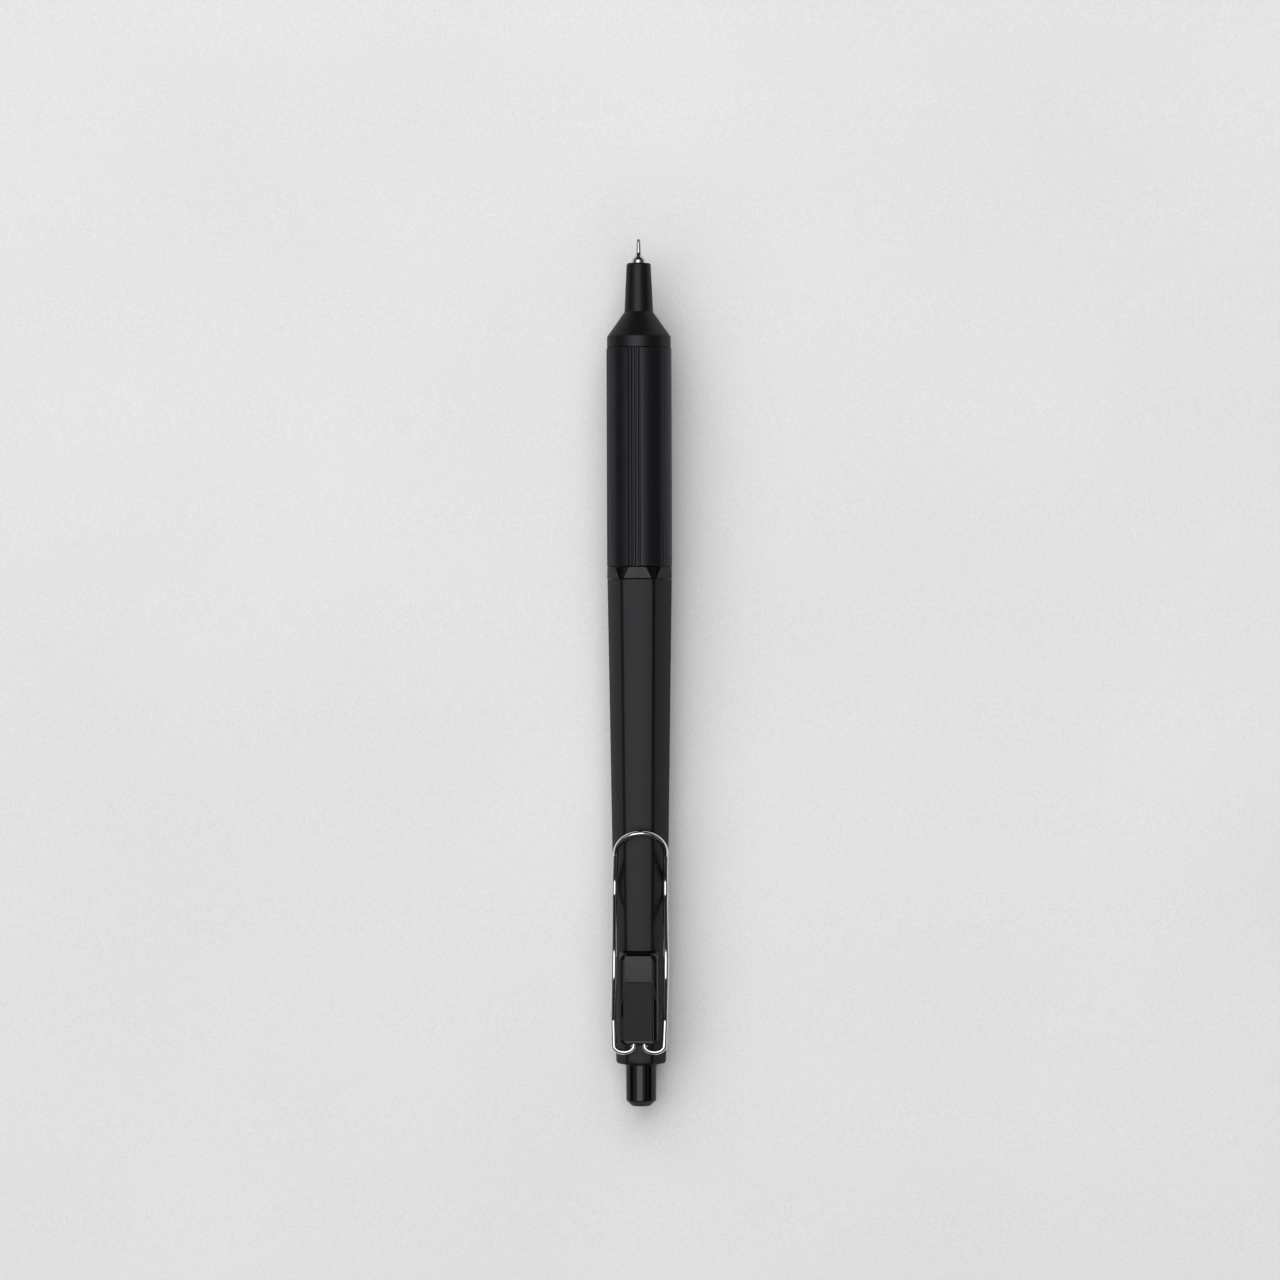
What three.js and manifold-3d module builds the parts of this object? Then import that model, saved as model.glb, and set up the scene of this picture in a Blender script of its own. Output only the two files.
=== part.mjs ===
// A retractable ballpoint pen with a round fluted grip, a six-sided tapering barrel and a
// bent-wire clip. Millimetres, +Y towards the point, +Z towards the clip. The origin lies
// under the middle of the pen, on the plane that its lowest point touches.

import * as THREE from "three";
import { mergeVertices } from "three/addons/utils/BufferGeometryUtils.js";
import Module from "manifold-3d";

const wasm = await Module();
wasm.setup();

// Driving sizes. A "station" is a distance from the writing point back along the pen.

// Clearances
const SEAM = 0.05; // between the faces of neighbouring pieces
const FIT = 0.05; // radial, between pieces that are pressed or screwed together
const SLIDE = 0.08; // radial, between pieces that slide or turn
const CAM_GAP = 0.06; // between the faces of the click cam
const ROOT = 0.06; // how far a rib, fin or land reaches into the piece that carries it
const CLOSE_STOP = 0.35; // left before a stop at the end of a travel

// Outer lengths, from the point to the button
const POINT_REACH = 4.04;
const NECK_LENGTH = 8.12;
const CONE_LENGTH = 4.12;
const BAND_LENGTH = 1.87;
const GRIP_LENGTH = 36.25;
const RING_LENGTH = 2.0;
const BUTTON_REACH = 6.83;

// Nose cone
const NECK_FRONT_RADIUS = 2.0;
const NECK_REAR_RADIUS = 2.38;
const NECK_EDGE = 0.39;
const BAND_RADIUS = 5.29;
const NOSE_BORE_CHAMFER = 0.15;
const SPRING_SEAT_DEPTH = 1.45; // behind the front of the cone
const SPRING_CHAMBER_RADIUS = 2.35;
const SPIGOT_RADIUS = 4.0;
const NOSE_SPIGOT_LENGTH = 8.8;

// Grip sleeve
const GRIP_RADIUS = 5.4;
const GRIP_EDGE = 0.15;
const GRIP_BORE_RADIUS = 3.3;
const GROOVE_GROUPS = 6;
const GROOVES_IN_GROUP = 4;
const GROOVE_PITCH = 0.62; // along the grip's round
const GROOVE_MOUTH = 0.3;
const GROOVE_FLOOR = 0.16;
const GROOVE_DEPTH = 0.22;
const GROUP_TURN = -10.5; // degrees, the first group from the top of the pen

// Joint ring and the coupler inside it
const RING_RADIUS = 5.39;
const RING_FRONT_FLAT = 5.29; // the flats' distance from the axis
const RING_REAR_FLAT = 4.9;
const COUPLER_GRIP_DEPTH = 8.4;
const COUPLER_BARREL_DEPTH = 7.6;
const COUPLER_WALL = 0.8;

// Barrel
const BARREL_FRONT_FLAT = 4.71;
const BARREL_REAR_FLAT = 3.65;
const BARREL_CORNER = 0.45;
const BARREL_EDGE = 0.06;
const BARREL_BORE_RADIUS = 3.1;
const BARREL_END_WALL = 1.25;
const BARREL_END_ROUND = 0.65; // length of the rounded rear edge
const BARREL_END_CORNER = 1.45; // corner radius at the end of the rounding
const BARREL_END_INSET = 0.125; // how far the rounding draws the flats in
const BARREL_END_CONE = 0.25;

// Clip holder
const CLIP_SET_BACK = 3.6; // from the barrel's rear end to the holder's
const HOLDER_LENGTH = 15.4;
const HOLDER_LEDGE_HEIGHT = 5.2; // above the pen's axis
const HOLDER_SKIRT_HEIGHT = 2.55;
const HOLDER_HALF_WIDTH = 3.12;
const HOLDER_FRONT_CORNER = 0.7;
const HOLDER_REAR_CORNER = 1.3;
const HOLDER_LEAN = 0.28; // front wall, run over rise
const HOLDER_EDGE = 0.12;
const PEG_RADIUS = 0.6;
const PEG_SPACING = 7.0;
const PLATE_HALF_WIDTH = 2.4;
const PLATE_FLARE = 0.14; // the plates' foot is wider than their top by this on each side
const PLATE_EDGE = 0.12;
const PAD_LENGTH = 4.3;
const PAD_FRONT_HEIGHT = 7.0;
const PAD_CORNER = 0.6;
const PLATE_INSET = 0.15; // the pad's foot behind the front of the ledge
const COVER_HEIGHT = 6.0;
const COVER_GAP = 0.16;
const COVER_LENGTH = 9.5;
const COVER_CORNER = 0.12;

// Clip wire, centreline
const WIRE_RADIUS = 0.45;
const WIRE_END_SPREAD = 0.9; // half the distance between the two ends
const WIRE_END_DEPTH = 2.6;
const WIRE_HOLE_CLEARANCE = 0.12;
const WIRE_LEVEL = 4.55; // above the pen's axis, at the hooks
const HOOK_STAND_OFF = 0.1;
const HOOK_RADIUS = 1.62;
const ARM_SPREAD = 4.28;
const ARM_BEND = 4.0; // from the hooks' centres forward to the bend
const ARM_BEND_RADIUS = 3.0;
const ARM_PEAK = 13.3;
const ARM_PEAK_HEIGHT = 7.2; // where the straight runs on both sides of the peak would meet
const ARM_PEAK_RADIUS = 11.5;
const ARM_VALLEY = 26.0;
const ARM_VALLEY_SPREAD = 4.2;
const ARM_VALLEY_RADIUS = 7.0;
const ARM_VALLEY_SINK = 0.4; // the straight runs would meet this far below the bent wire
const ARM_VALLEY_CLEARANCE = 0.1; // between the wire and the barrel's side flats
const LOOP_START = 32.3;
const LOOP_START_RISE = 1.7; // above the valley
const LOOP_SPREAD = 4.17;
const LOOP_STRAIGHT = 0.5;
const LOOP_REACH = 3.7;
const LOOP_TILT = 52; // degrees
const LOOP_BEND_RADIUS = 1.4;
const WIRE_SIDES = 8;
const WIRE_STEPS = 150;

// Click cam
const CAM_TRAVEL = 5.0;
const PRESS_PAST_LATCH = 1.2;
const CAM_TURN = 45; // degrees over the travel
const CAM_LANDS = 4;
const LAND_HALF_ANGLE = 15;
const RIB_HALF_ANGLE = 6;
const FIN_HALF_ANGLE = 9;
const ROTOR_HEAD_RADIUS = 2.45;
const ROTOR_HEAD_LENGTH = 2.0;
const ROTOR_BODY_RADIUS = 1.85;
const ROTOR_LENGTH = 12.87;
const ROTOR_TAIL_RADIUS = 0.95;
const ROTOR_TAIL_LENGTH = 3.4;
const RIB_LENGTH = 5.0;
const FIN_LENGTH = 5.0;
const CAM_WALL = 0.35;
const SLEEVE_LENGTH = 22.8;
const SLEEVE_REAR_RING = 3.6;
const CROWN_TEETH = 8;
const CROWN_DEPTH = 0.5;
const STEM_RADIUS = 1.7;

// Push button
const BUTTON_FRONT_RADIUS = 2.51;
const BUTTON_REAR_RADIUS = 2.46;
const BUTTON_CHAMFER_RUN = 0.91;
const BUTTON_CHAMFER_RISE = 0.93;
const BUTTON_CROWN_LENGTH = 3.0;
const BUTTON_FLANGE_LENGTH = 1.0;
const BUTTON_ROOM = 2.62; // from the cam sleeve to the button's flange, with the point out

// Refill
const REFILL_LENGTH = 98.1;
const REFILL_RADIUS = 2.95;
const REFILL_WALL = 0.4;
const BALL_RADIUS = 0.14;
const BALL_CLEARANCE = 0.015;
const BALL_SEAT_DEPTH = 0.252; // from the front of the ball to the end of its wall
const BALL_SEAT_LENGTH = 0.084;
const BALL_STANDS_OUT = 0.112; // from the needle's rim
const NEEDLE_RIM = 0.05; // wall of the needle around the ball
const NEEDLE_THROAT_RADIUS = 0.084;
const NEEDLE_THROAT_LENGTH = 0.28;
const NEEDLE_THROAT_CONE = 0.14;
const NEEDLE_MIDDLE = 1.5;
const NEEDLE_MIDDLE_RADIUS = 0.33;
const NEEDLE_LENGTH = 3.14;
const NEEDLE_REAR_RADIUS = 0.445;
const FLARE_LENGTH = 0.7;
const SHANK_RADIUS = 1.15;
const SHANK_LENGTH = 5.4;
const SHANK_SPIGOT_RADIUS = 0.8;
const SHANK_SPIGOT_LENGTH = 2.3;
const INK_BORE_RADIUS = 0.17;
const TIP_HOLDER_BORE_RADIUS = 0.5;
const COLLAR_LENGTH = 2.2;
const TUBE_SPIGOT_LENGTH = 5.0;
const PLUG_HEAD_LENGTH = 4.0;
const INK_LENGTH = 46.0;
const FOLLOWER_LENGTH = 4.0;

// Return spring
const SPRING_LENGTH = 8.4; // squeezed, with the point out
const SPRING_RADIUS = 1.85; // to the middle of its wire
const SPRING_WIRE_RADIUS = 0.2;
const SPRING_TURNS = 8;
const SPRING_END_PITCH = 0.47;

// Stations that follow from the sizes
const noseFace = POINT_REACH;
const coneStart = noseFace + NECK_LENGTH;
const bandStart = coneStart + CONE_LENGTH;
const bandEnd = bandStart + BAND_LENGTH;
const noseSpigotEnd = bandEnd + NOSE_SPIGOT_LENGTH;
const gripStart = bandEnd + SEAM;
const gripEnd = gripStart + GRIP_LENGTH;
const ringStart = gripEnd + SEAM;
const ringEnd = ringStart + RING_LENGTH;
const barrelStart = ringEnd + SEAM;
const AXIS_HEIGHT = GRIP_RADIUS;

const springSeat = coneStart + SPRING_SEAT_DEPTH;
const refillCollar = springSeat + SPRING_LENGTH;
const tubeStart = refillCollar + COLLAR_LENGTH + SEAM;
const tubeEnd = REFILL_LENGTH - PLUG_HEAD_LENGTH - SEAM;

const rotorFront = REFILL_LENGTH + CAM_GAP;
const ribRear = rotorFront + ROTOR_LENGTH; // at the middle of a rib
const camRise = CAM_TRAVEL / CAM_TURN; // millimetres along for each degree
const ribRise = camRise * RIB_HALF_ANGLE;
const rotorBodyRear = ribRear - ribRise;
const finFront = ribRear + ribRise + CAM_GAP;
const sleeveFront = REFILL_LENGTH + CAM_TRAVEL + 3 * CLOSE_STOP;
const sleeveRear = sleeveFront + SLEEVE_LENGTH;

// The barrel is as long as the refill, the click cam and the button's travel need.
const flangeFront = sleeveRear + BUTTON_ROOM;
const flangeRear = flangeFront + BUTTON_FLANGE_LENGTH;
const barrelWallInside = flangeRear + CAM_TRAVEL + CLOSE_STOP;
const barrelEnd = barrelWallInside + BARREL_END_WALL;
const LENGTH = barrelEnd + BUTTON_REACH;
const buttonBoreEnd = LENGTH - BUTTON_CROWN_LENGTH;

const holderRear = barrelEnd - CLIP_SET_BACK;
const holderFront = holderRear - HOLDER_LENGTH;
const hookStation = holderRear + HOOK_STAND_OFF;

// Radii that follow from the sizes
const noseBore = SHANK_RADIUS + SLIDE;
const refillBore = REFILL_RADIUS + 2 * SLIDE;
const spigotBore = SPIGOT_RADIUS + FIT;
const tubeBore = REFILL_RADIUS - REFILL_WALL;
const tubeSpigot = tubeBore - FIT;
const sleeveRadius = BARREL_BORE_RADIUS - FIT;
const camGroove = sleeveRadius - CAM_WALL;
const ribRadius = camGroove - SLIDE;
const landRadius = ROTOR_BODY_RADIUS + SLIDE;
const buttonHole = BUTTON_FRONT_RADIUS + SLIDE;

const TURNED_SEGMENTS = 48;
const SMALL_SEGMENTS = 24;

// Point on the pen at a radius, an angle from the top (towards +X) and a station.
function at(radius, degrees, station) {
  const angle = THREE.MathUtils.degToRad(degrees);
  return new THREE.Vector3(radius * Math.sin(angle), LENGTH / 2 - station, radius * Math.cos(angle));
}

// Turns the faces of a closed mesh outwards, if they point in.
function facingOut(geometry) {
  const flat = geometry.index ? geometry.toNonIndexed() : geometry;
  const position = flat.getAttribute("position");
  const [a, b, c] = [new THREE.Vector3(), new THREE.Vector3(), new THREE.Vector3()];
  let volume = 0;
  for (let i = 0; i < position.count; i += 3) {
    a.fromBufferAttribute(position, i);
    b.fromBufferAttribute(position, i + 1);
    c.fromBufferAttribute(position, i + 2);
    volume += a.dot(b.cross(c));
  }
  if (volume < 0) {
    const order = geometry.index.array;
    for (let i = 0; i < order.length; i += 3) {
      [order[i], order[i + 1]] = [order[i + 1], order[i]];
    }
  }
  return geometry;
}

// Only the positions, with shared vertices merged.
function bare(geometry) {
  const copy = geometry.clone();
  for (const name of Object.keys(copy.attributes)) {
    if (name !== "position") copy.deleteAttribute(name);
  }
  return facingOut(mergeVertices(copy, 1e-5));
}

// A surface through rings of points, all with as many points. It closes on itself like a
// tube wall, or has a flat end at each of its two last rings.
function skin(rings, closesOnItself) {
  const count = rings[0].length;
  const points = rings.flat();
  const faces = [];
  const bands = closesOnItself ? rings.length : rings.length - 1;
  for (let k = 0; k < bands; k++) {
    const here = k * count;
    const next = ((k + 1) % rings.length) * count;
    for (let i = 0; i < count; i++) {
      const j = (i + 1) % count;
      faces.push(here + i, here + j, next + j, here + i, next + j, next + i);
    }
  }
  if (!closesOnItself) {
    for (const [ring, reversed] of [[0, true], [rings.length - 1, false]]) {
      const centre = new THREE.Vector3();
      for (const point of rings[ring]) centre.addScaledVector(point, 1 / count);
      points.push(centre);
      for (let i = 0; i < count; i++) {
        const pair = [ring * count + i, ring * count + ((i + 1) % count)];
        if (reversed) pair.reverse();
        faces.push(pair[0], pair[1], points.length - 1);
      }
    }
  }
  const geometry = new THREE.BufferGeometry().setFromPoints(points);
  geometry.setIndex(faces);
  return bare(geometry);
}

// A turned piece: profile points are [radius, station]. A profile that doesn't start and
// end on the axis closes on itself.
function turned(profile, segments = SMALL_SEGMENTS) {
  const points = profile.map(([radius, station]) => new THREE.Vector2(radius, LENGTH / 2 - station));
  if (profile[0][0] > 0 || profile.at(-1)[0] > 0) points.push(points[0].clone());
  return bare(new THREE.LatheGeometry(points, segments));
}

// Part of a turned tube, between two angles, with ends that may follow the angle.
function sector(inner, outer, fromAngle, toAngle, front, rear, steps) {
  const rings = [];
  for (let i = 0; i <= steps; i++) {
    const angle = fromAngle + ((toAngle - fromAngle) * i) / steps;
    rings.push([
      at(inner, angle, front(angle)),
      at(outer, angle, front(angle)),
      at(outer, angle, rear(angle)),
      at(inner, angle, rear(angle)),
    ]);
  }
  return skin(rings, false);
}

function toSolid(geometry) {
  const mesh = new wasm.Mesh({
    numProp: 3,
    vertProperties: new Float32Array(geometry.getAttribute("position").array),
    triVerts: new Uint32Array(geometry.index.array),
  });
  return new wasm.Manifold(mesh);
}

function toGeometry(solid) {
  const mesh = solid.getMesh();
  const geometry = new THREE.BufferGeometry();
  geometry.setAttribute("position", new THREE.BufferAttribute(mesh.vertProperties, 3));
  geometry.setIndex(new THREE.BufferAttribute(mesh.triVerts, 1));
  return geometry;
}

function joined(first, ...others) {
  return toGeometry(others.reduce((solid, other) => solid.add(toSolid(other)), toSolid(first)));
}

function cut(first, ...others) {
  return toGeometry(others.reduce((solid, other) => solid.subtract(toSolid(other)), toSolid(first)));
}

// Six-sided sections. A flat faces up, and the corners are rounded.

const SIDES = 6;
const SIDE_TURN = 360 / SIDES;
const HALF_SIDE = THREE.MathUtils.degToRad(SIDE_TURN / 2);
const CORNER_STEPS = 4;
const FLAT_STEPS = 4;

// Half the angle that a rounded corner takes, in degrees, seen from the axis.
function cornerHalfAngle(flat, corner) {
  const tangent = (flat - corner) * Math.tan(HALF_SIDE);
  return THREE.MathUtils.radToDeg(HALF_SIDE - Math.atan2(tangent, flat));
}

function hexRadius(flat, corner, degrees) {
  const fromCorner = THREE.MathUtils.euclideanModulo(degrees, SIDE_TURN) - SIDE_TURN / 2;
  const halfAngle = cornerHalfAngle(flat, corner);
  const angle = THREE.MathUtils.degToRad(fromCorner);
  if (Math.abs(fromCorner) < halfAngle - 1e-9) {
    const centre = (flat - corner) / Math.cos(HALF_SIDE);
    return centre * Math.cos(angle) + Math.sqrt(corner ** 2 - (centre * Math.sin(angle)) ** 2);
  }
  return flat / Math.cos(HALF_SIDE - Math.abs(angle));
}

function hexAngles(flat, corner) {
  const halfAngle = cornerHalfAngle(flat, corner);
  const angles = [];
  for (let side = 0; side < SIDES; side++) {
    const middle = (side + 0.5) * SIDE_TURN;
    for (let i = 0; i <= CORNER_STEPS; i++) {
      angles.push(middle + halfAngle * ((2 * i) / CORNER_STEPS - 1));
    }
    for (let i = 1; i < FLAT_STEPS; i++) {
      angles.push(middle + halfAngle + ((SIDE_TURN - 2 * halfAngle) * i) / FLAT_STEPS);
    }
  }
  return angles;
}

function hexRing(flat, corner, station) {
  return hexAngles(flat, corner).map((angle) => at(hexRadius(flat, corner, angle), angle, station));
}

function roundRing(radius, station, angles) {
  return angles.map((angle) => at(radius, angle, station));
}

// The barrel's flats at a station.
function barrelFlat(station) {
  const share = (station - barrelStart) / (barrelEnd - barrelStart);
  return THREE.MathUtils.lerp(BARREL_FRONT_FLAT, BARREL_REAR_FLAT, share);
}

// Nose cone: neck, cone and band outside; point bore, spring chamber and refill bore inside.

function noseCone() {
  const edge = [];
  const edgeSteps = 4;
  for (let i = 0; i <= edgeSteps; i++) {
    const angle = ((Math.PI / 2) * i) / edgeSteps;
    const radius = NECK_FRONT_RADIUS - NECK_EDGE * (1 - Math.sin(angle));
    edge.push([radius, noseFace + NECK_EDGE * (1 - Math.cos(angle))]);
  }
  const refillRoom = refillCollar - PRESS_PAST_LATCH - CLOSE_STOP;
  return turned(
    [
      [noseBore + NOSE_BORE_CHAMFER, noseFace],
      ...edge,
      [NECK_REAR_RADIUS, coneStart],
      [BAND_RADIUS, bandStart],
      [BAND_RADIUS, bandEnd],
      [SPIGOT_RADIUS, bandEnd],
      [SPIGOT_RADIUS, noseSpigotEnd],
      [refillBore, noseSpigotEnd],
      [refillBore, refillRoom],
      [SPRING_CHAMBER_RADIUS, refillRoom],
      [SPRING_CHAMBER_RADIUS, springSeat],
      [noseBore, springSeat],
      [noseBore, noseFace + NOSE_BORE_CHAMFER],
    ],
    TURNED_SEGMENTS,
  );
}

// Grip sleeve: the grooves run its whole length, in groups. The outline is a list of
// [angle, depth below the round].

function grooveOutline() {
  const degreesPerMillimetre = 180 / (Math.PI * GRIP_RADIUS);
  const mouth = (GROOVE_MOUTH / 2) * degreesPerMillimetre;
  const floor = (GROOVE_FLOOR / 2) * degreesPerMillimetre;
  const pitch = GROOVE_PITCH * degreesPerMillimetre;
  const groupStep = 360 / GROOVE_GROUPS;
  const landSteps = 5;
  const outline = [];
  for (let group = 0; group < GROOVE_GROUPS; group++) {
    const first = GROUP_TURN + group * groupStep - ((GROOVES_IN_GROUP - 1) * pitch) / 2;
    for (let k = 0; k < GROOVES_IN_GROUP; k++) {
      const angle = first + k * pitch;
      outline.push([angle - mouth, 0], [angle - floor, GROOVE_DEPTH]);
      outline.push([angle + floor, GROOVE_DEPTH], [angle + mouth, 0]);
    }
    const landStart = first + (GROOVES_IN_GROUP - 1) * pitch + mouth;
    const landEnd = first + groupStep - mouth;
    for (let i = 1; i < landSteps; i++) {
      outline.push([landStart + ((landEnd - landStart) * i) / landSteps, 0]);
    }
  }
  return outline;
}

function gripSleeve() {
  const outline = grooveOutline();
  const outer = (radius, station) =>
    outline.map(([angle, depth]) => at(Math.min(radius, GRIP_RADIUS - depth), angle, station));
  const inner = (radius, station) => outline.map(([angle]) => at(radius, angle, station));
  const frontStep = noseSpigotEnd + SEAM;
  const rearStep = gripEnd - COUPLER_GRIP_DEPTH - SEAM;
  return skin(
    [
      outer(GRIP_RADIUS - GRIP_EDGE, gripStart),
      outer(GRIP_RADIUS, gripStart + GRIP_EDGE),
      outer(GRIP_RADIUS, gripEnd - GRIP_EDGE),
      outer(GRIP_RADIUS - GRIP_EDGE, gripEnd),
      inner(spigotBore, gripEnd),
      inner(spigotBore, rearStep),
      inner(GRIP_BORE_RADIUS, rearStep),
      inner(GRIP_BORE_RADIUS, frontStep),
      inner(spigotBore, frontStep),
      inner(spigotBore, gripStart),
    ],
    true,
  );
}

// Coupler: screws into the grip and the barrel, through the joint ring.

function gripCoupler() {
  const front = gripEnd - COUPLER_GRIP_DEPTH;
  const rear = barrelStart + COUPLER_BARREL_DEPTH;
  const bore = SPIGOT_RADIUS - COUPLER_WALL;
  return turned([
    [SPIGOT_RADIUS, front],
    [SPIGOT_RADIUS, rear],
    [bore, rear],
    [bore, front],
  ]);
}

// Joint ring: a round collar whose six slanted flats lead over to the barrel's.

function jointRing() {
  const steps = 3;
  const roundSteps = 4;
  const outer = [];
  let angles = [];
  for (let k = 0; k <= steps; k++) {
    const share = k / steps;
    const flat = THREE.MathUtils.lerp(RING_FRONT_FLAT, RING_REAR_FLAT, share);
    const reach = THREE.MathUtils.radToDeg(Math.acos(flat / RING_RADIUS));
    angles = [];
    for (let side = 0; side < SIDES; side++) {
      const middle = side * SIDE_TURN;
      const roundReach = SIDE_TURN - 2 * reach;
      for (let i = -2; i <= 2; i++) angles.push(middle + (reach * i) / 2);
      for (let i = 1; i < roundSteps; i++) angles.push(middle + reach + (roundReach * i) / roundSteps);
    }
    const radius = (angle) => {
      const fromFlat = THREE.MathUtils.euclideanModulo(angle + SIDE_TURN / 2, SIDE_TURN) - SIDE_TURN / 2;
      return Math.min(RING_RADIUS, flat / Math.cos(THREE.MathUtils.degToRad(fromFlat)));
    };
    outer.push(angles.map((angle) => at(radius(angle), angle, ringStart + RING_LENGTH * share)));
  }
  const inner = [roundRing(spigotBore, ringEnd, angles), roundRing(spigotBore, ringStart, angles)];
  return skin([...outer, ...inner], true);
}

// Barrel: six flats that taper to the rear, and a rounded end wall with the button's hole.

const pegStations = [-0.5, 0.5].map((side) => {
  const middle = (holderFront + holderRear) / 2;
  return middle + side * PEG_SPACING;
});

// An upright pin on the pen's centre line, between two heights above the axis.
function uprightPin(radius, station, from, to) {
  const pin = new THREE.CylinderGeometry(radius, radius, to - from, 16);
  pin.rotateX(Math.PI / 2);
  pin.translate(0, LENGTH / 2 - station, (from + to) / 2);
  return bare(pin);
}

function barrel() {
  const roundStart = barrelEnd - BARREL_END_CONE - BARREL_END_ROUND;
  const coneStation = barrelEnd - BARREL_END_CONE;
  const endFlat = barrelFlat(coneStation) - BARREL_END_INSET;
  const middleShare = 0.6;
  const angles = hexAngles(BARREL_REAR_FLAT, BARREL_CORNER);
  const boreStep = barrelStart + COUPLER_BARREL_DEPTH + SEAM;
  const shell = skin(
    [
      hexRing(BARREL_FRONT_FLAT - BARREL_EDGE, BARREL_CORNER, barrelStart),
      hexRing(barrelFlat(barrelStart + BARREL_EDGE), BARREL_CORNER, barrelStart + BARREL_EDGE),
      hexRing(barrelFlat(roundStart), BARREL_CORNER, roundStart),
      hexRing(
        barrelFlat(coneStation) - BARREL_END_INSET / 4,
        THREE.MathUtils.lerp(BARREL_CORNER, BARREL_END_CORNER, middleShare / 2),
        roundStart + BARREL_END_ROUND * middleShare,
      ),
      hexRing(endFlat, BARREL_END_CORNER, coneStation),
      roundRing(buttonHole, barrelEnd, angles),
      roundRing(buttonHole, barrelWallInside, angles),
      roundRing(BARREL_BORE_RADIUS, barrelWallInside, angles),
      roundRing(BARREL_BORE_RADIUS, boreStep, angles),
      roundRing(spigotBore, boreStep, angles),
      roundRing(spigotBore, barrelStart, angles),
    ],
    true,
  );
  const holes = pegStations.map((station) =>
    uprightPin(PEG_RADIUS + FIT, station, sleeveRadius, HOLDER_LEDGE_HEIGHT),
  );
  return cut(shell, ...holes);
}

// Clip holder: a saddle on the barrel's top flat, with two plates on its ledge.

// A rectangle with rounded corners in plan, as [x, station].
function planOutline(front, rear, halfWidth, frontCorner, rearCorner) {
  const cornerSteps = 4;
  const corners = [
    [halfWidth - frontCorner, front + frontCorner, frontCorner],
    [-(halfWidth - frontCorner), front + frontCorner, frontCorner],
    [-(halfWidth - rearCorner), rear - rearCorner, rearCorner],
    [halfWidth - rearCorner, rear - rearCorner, rearCorner],
  ];
  return corners.flatMap(([x, station, radius], quarter) =>
    Array.from({ length: cornerSteps + 1 }, (_, i) => {
      const angle = (Math.PI / 2) * (quarter + i / cornerSteps);
      return [x + radius * Math.cos(angle), station - radius * Math.sin(angle)];
    }),
  );
}

function planRing(outline, height) {
  return outline.map(([x, station]) => new THREE.Vector3(x, LENGTH / 2 - station, height(station)));
}

function leanAt(height) {
  return HOLDER_LEAN * (height - barrelFlat(holderFront));
}

function clipHolder() {
  const levels = [
    [HOLDER_SKIRT_HEIGHT, 0],
    [HOLDER_LEDGE_HEIGHT - HOLDER_EDGE, 0],
    [HOLDER_LEDGE_HEIGHT, HOLDER_EDGE],
  ];
  const rings = levels.map(([height, inset]) => {
    const front = holderFront + leanAt(height) + inset;
    const outline = planOutline(
      front,
      holderRear - inset,
      HOLDER_HALF_WIDTH - inset,
      HOLDER_FRONT_CORNER,
      HOLDER_REAR_CORNER,
    );
    return planRing(outline, () => height);
  });
  const block = skin(rings, false);
  const before = holderFront - 1;
  const barrelRoom = skin(
    [
      hexRing(barrelFlat(before) + SEAM, BARREL_CORNER, before),
      hexRing(barrelFlat(barrelEnd) + SEAM, BARREL_CORNER, barrelEnd),
    ],
    false,
  );
  const pegs = pegStations.map((station) =>
    uprightPin(PEG_RADIUS, station, BARREL_BORE_RADIUS, HOLDER_LEDGE_HEIGHT - HOLDER_EDGE),
  );
  const wireHoles = [-1, 1].map((side) => {
    const depth = WIRE_END_DEPTH + WIRE_HOLE_CLEARANCE;
    const radius = WIRE_RADIUS + WIRE_HOLE_CLEARANCE;
    const hole = new THREE.CylinderGeometry(radius, radius, 2 * depth, 16);
    hole.translate(side * WIRE_END_SPREAD, LENGTH / 2 - holderRear, WIRE_LEVEL);
    return bare(hole);
  });
  return cut(joined(cut(block, barrelRoom), ...pegs), ...wireHoles);
}

// A plate on the ledge: its foot is a little wider than its top, and its top edge is broken.
function ledgePlate(front, rear, topHeight, frontCorner, frontLean) {
  const foot = HOLDER_LEDGE_HEIGHT + SEAM;
  const level = (inset, height) => {
    const start = (station) => frontLean * (height(station) - foot);
    const outline = planOutline(
      front + start(front) + inset,
      rear - inset / 2,
      PLATE_HALF_WIDTH - inset,
      frontCorner,
      COVER_CORNER,
    );
    return planRing(outline, height);
  };
  const wideOutline = planOutline(front, rear, PLATE_HALF_WIDTH + PLATE_FLARE, frontCorner, COVER_CORNER);
  return skin(
    [
      planRing(wideOutline, () => foot),
      level(0, (station) => topHeight(station) - PLATE_EDGE),
      level(PLATE_EDGE, topHeight),
    ],
    false,
  );
}

const padFront = holderFront + leanAt(HOLDER_LEDGE_HEIGHT) + PLATE_INSET;
const padRear = padFront + PAD_LENGTH + HOLDER_LEAN * (PAD_FRONT_HEIGHT - HOLDER_LEDGE_HEIGHT);
const coverFront = padRear + COVER_GAP;

function holderFrontPad() {
  const height = (station) => {
    const share = (station - padFront) / (padRear - padFront);
    return THREE.MathUtils.lerp(PAD_FRONT_HEIGHT, COVER_HEIGHT, share);
  };
  return ledgePlate(padFront, padRear, height, PAD_CORNER, HOLDER_LEAN);
}

function holderRearCover() {
  return ledgePlate(coverFront, coverFront + COVER_LENGTH, () => COVER_HEIGHT, COVER_CORNER, 0);
}

// Clip wire: both ends sit in the holder's rear wall, hook round, run forward along the
// barrel's sides over a peak and a valley, and meet in a loop that is turned up.

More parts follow.
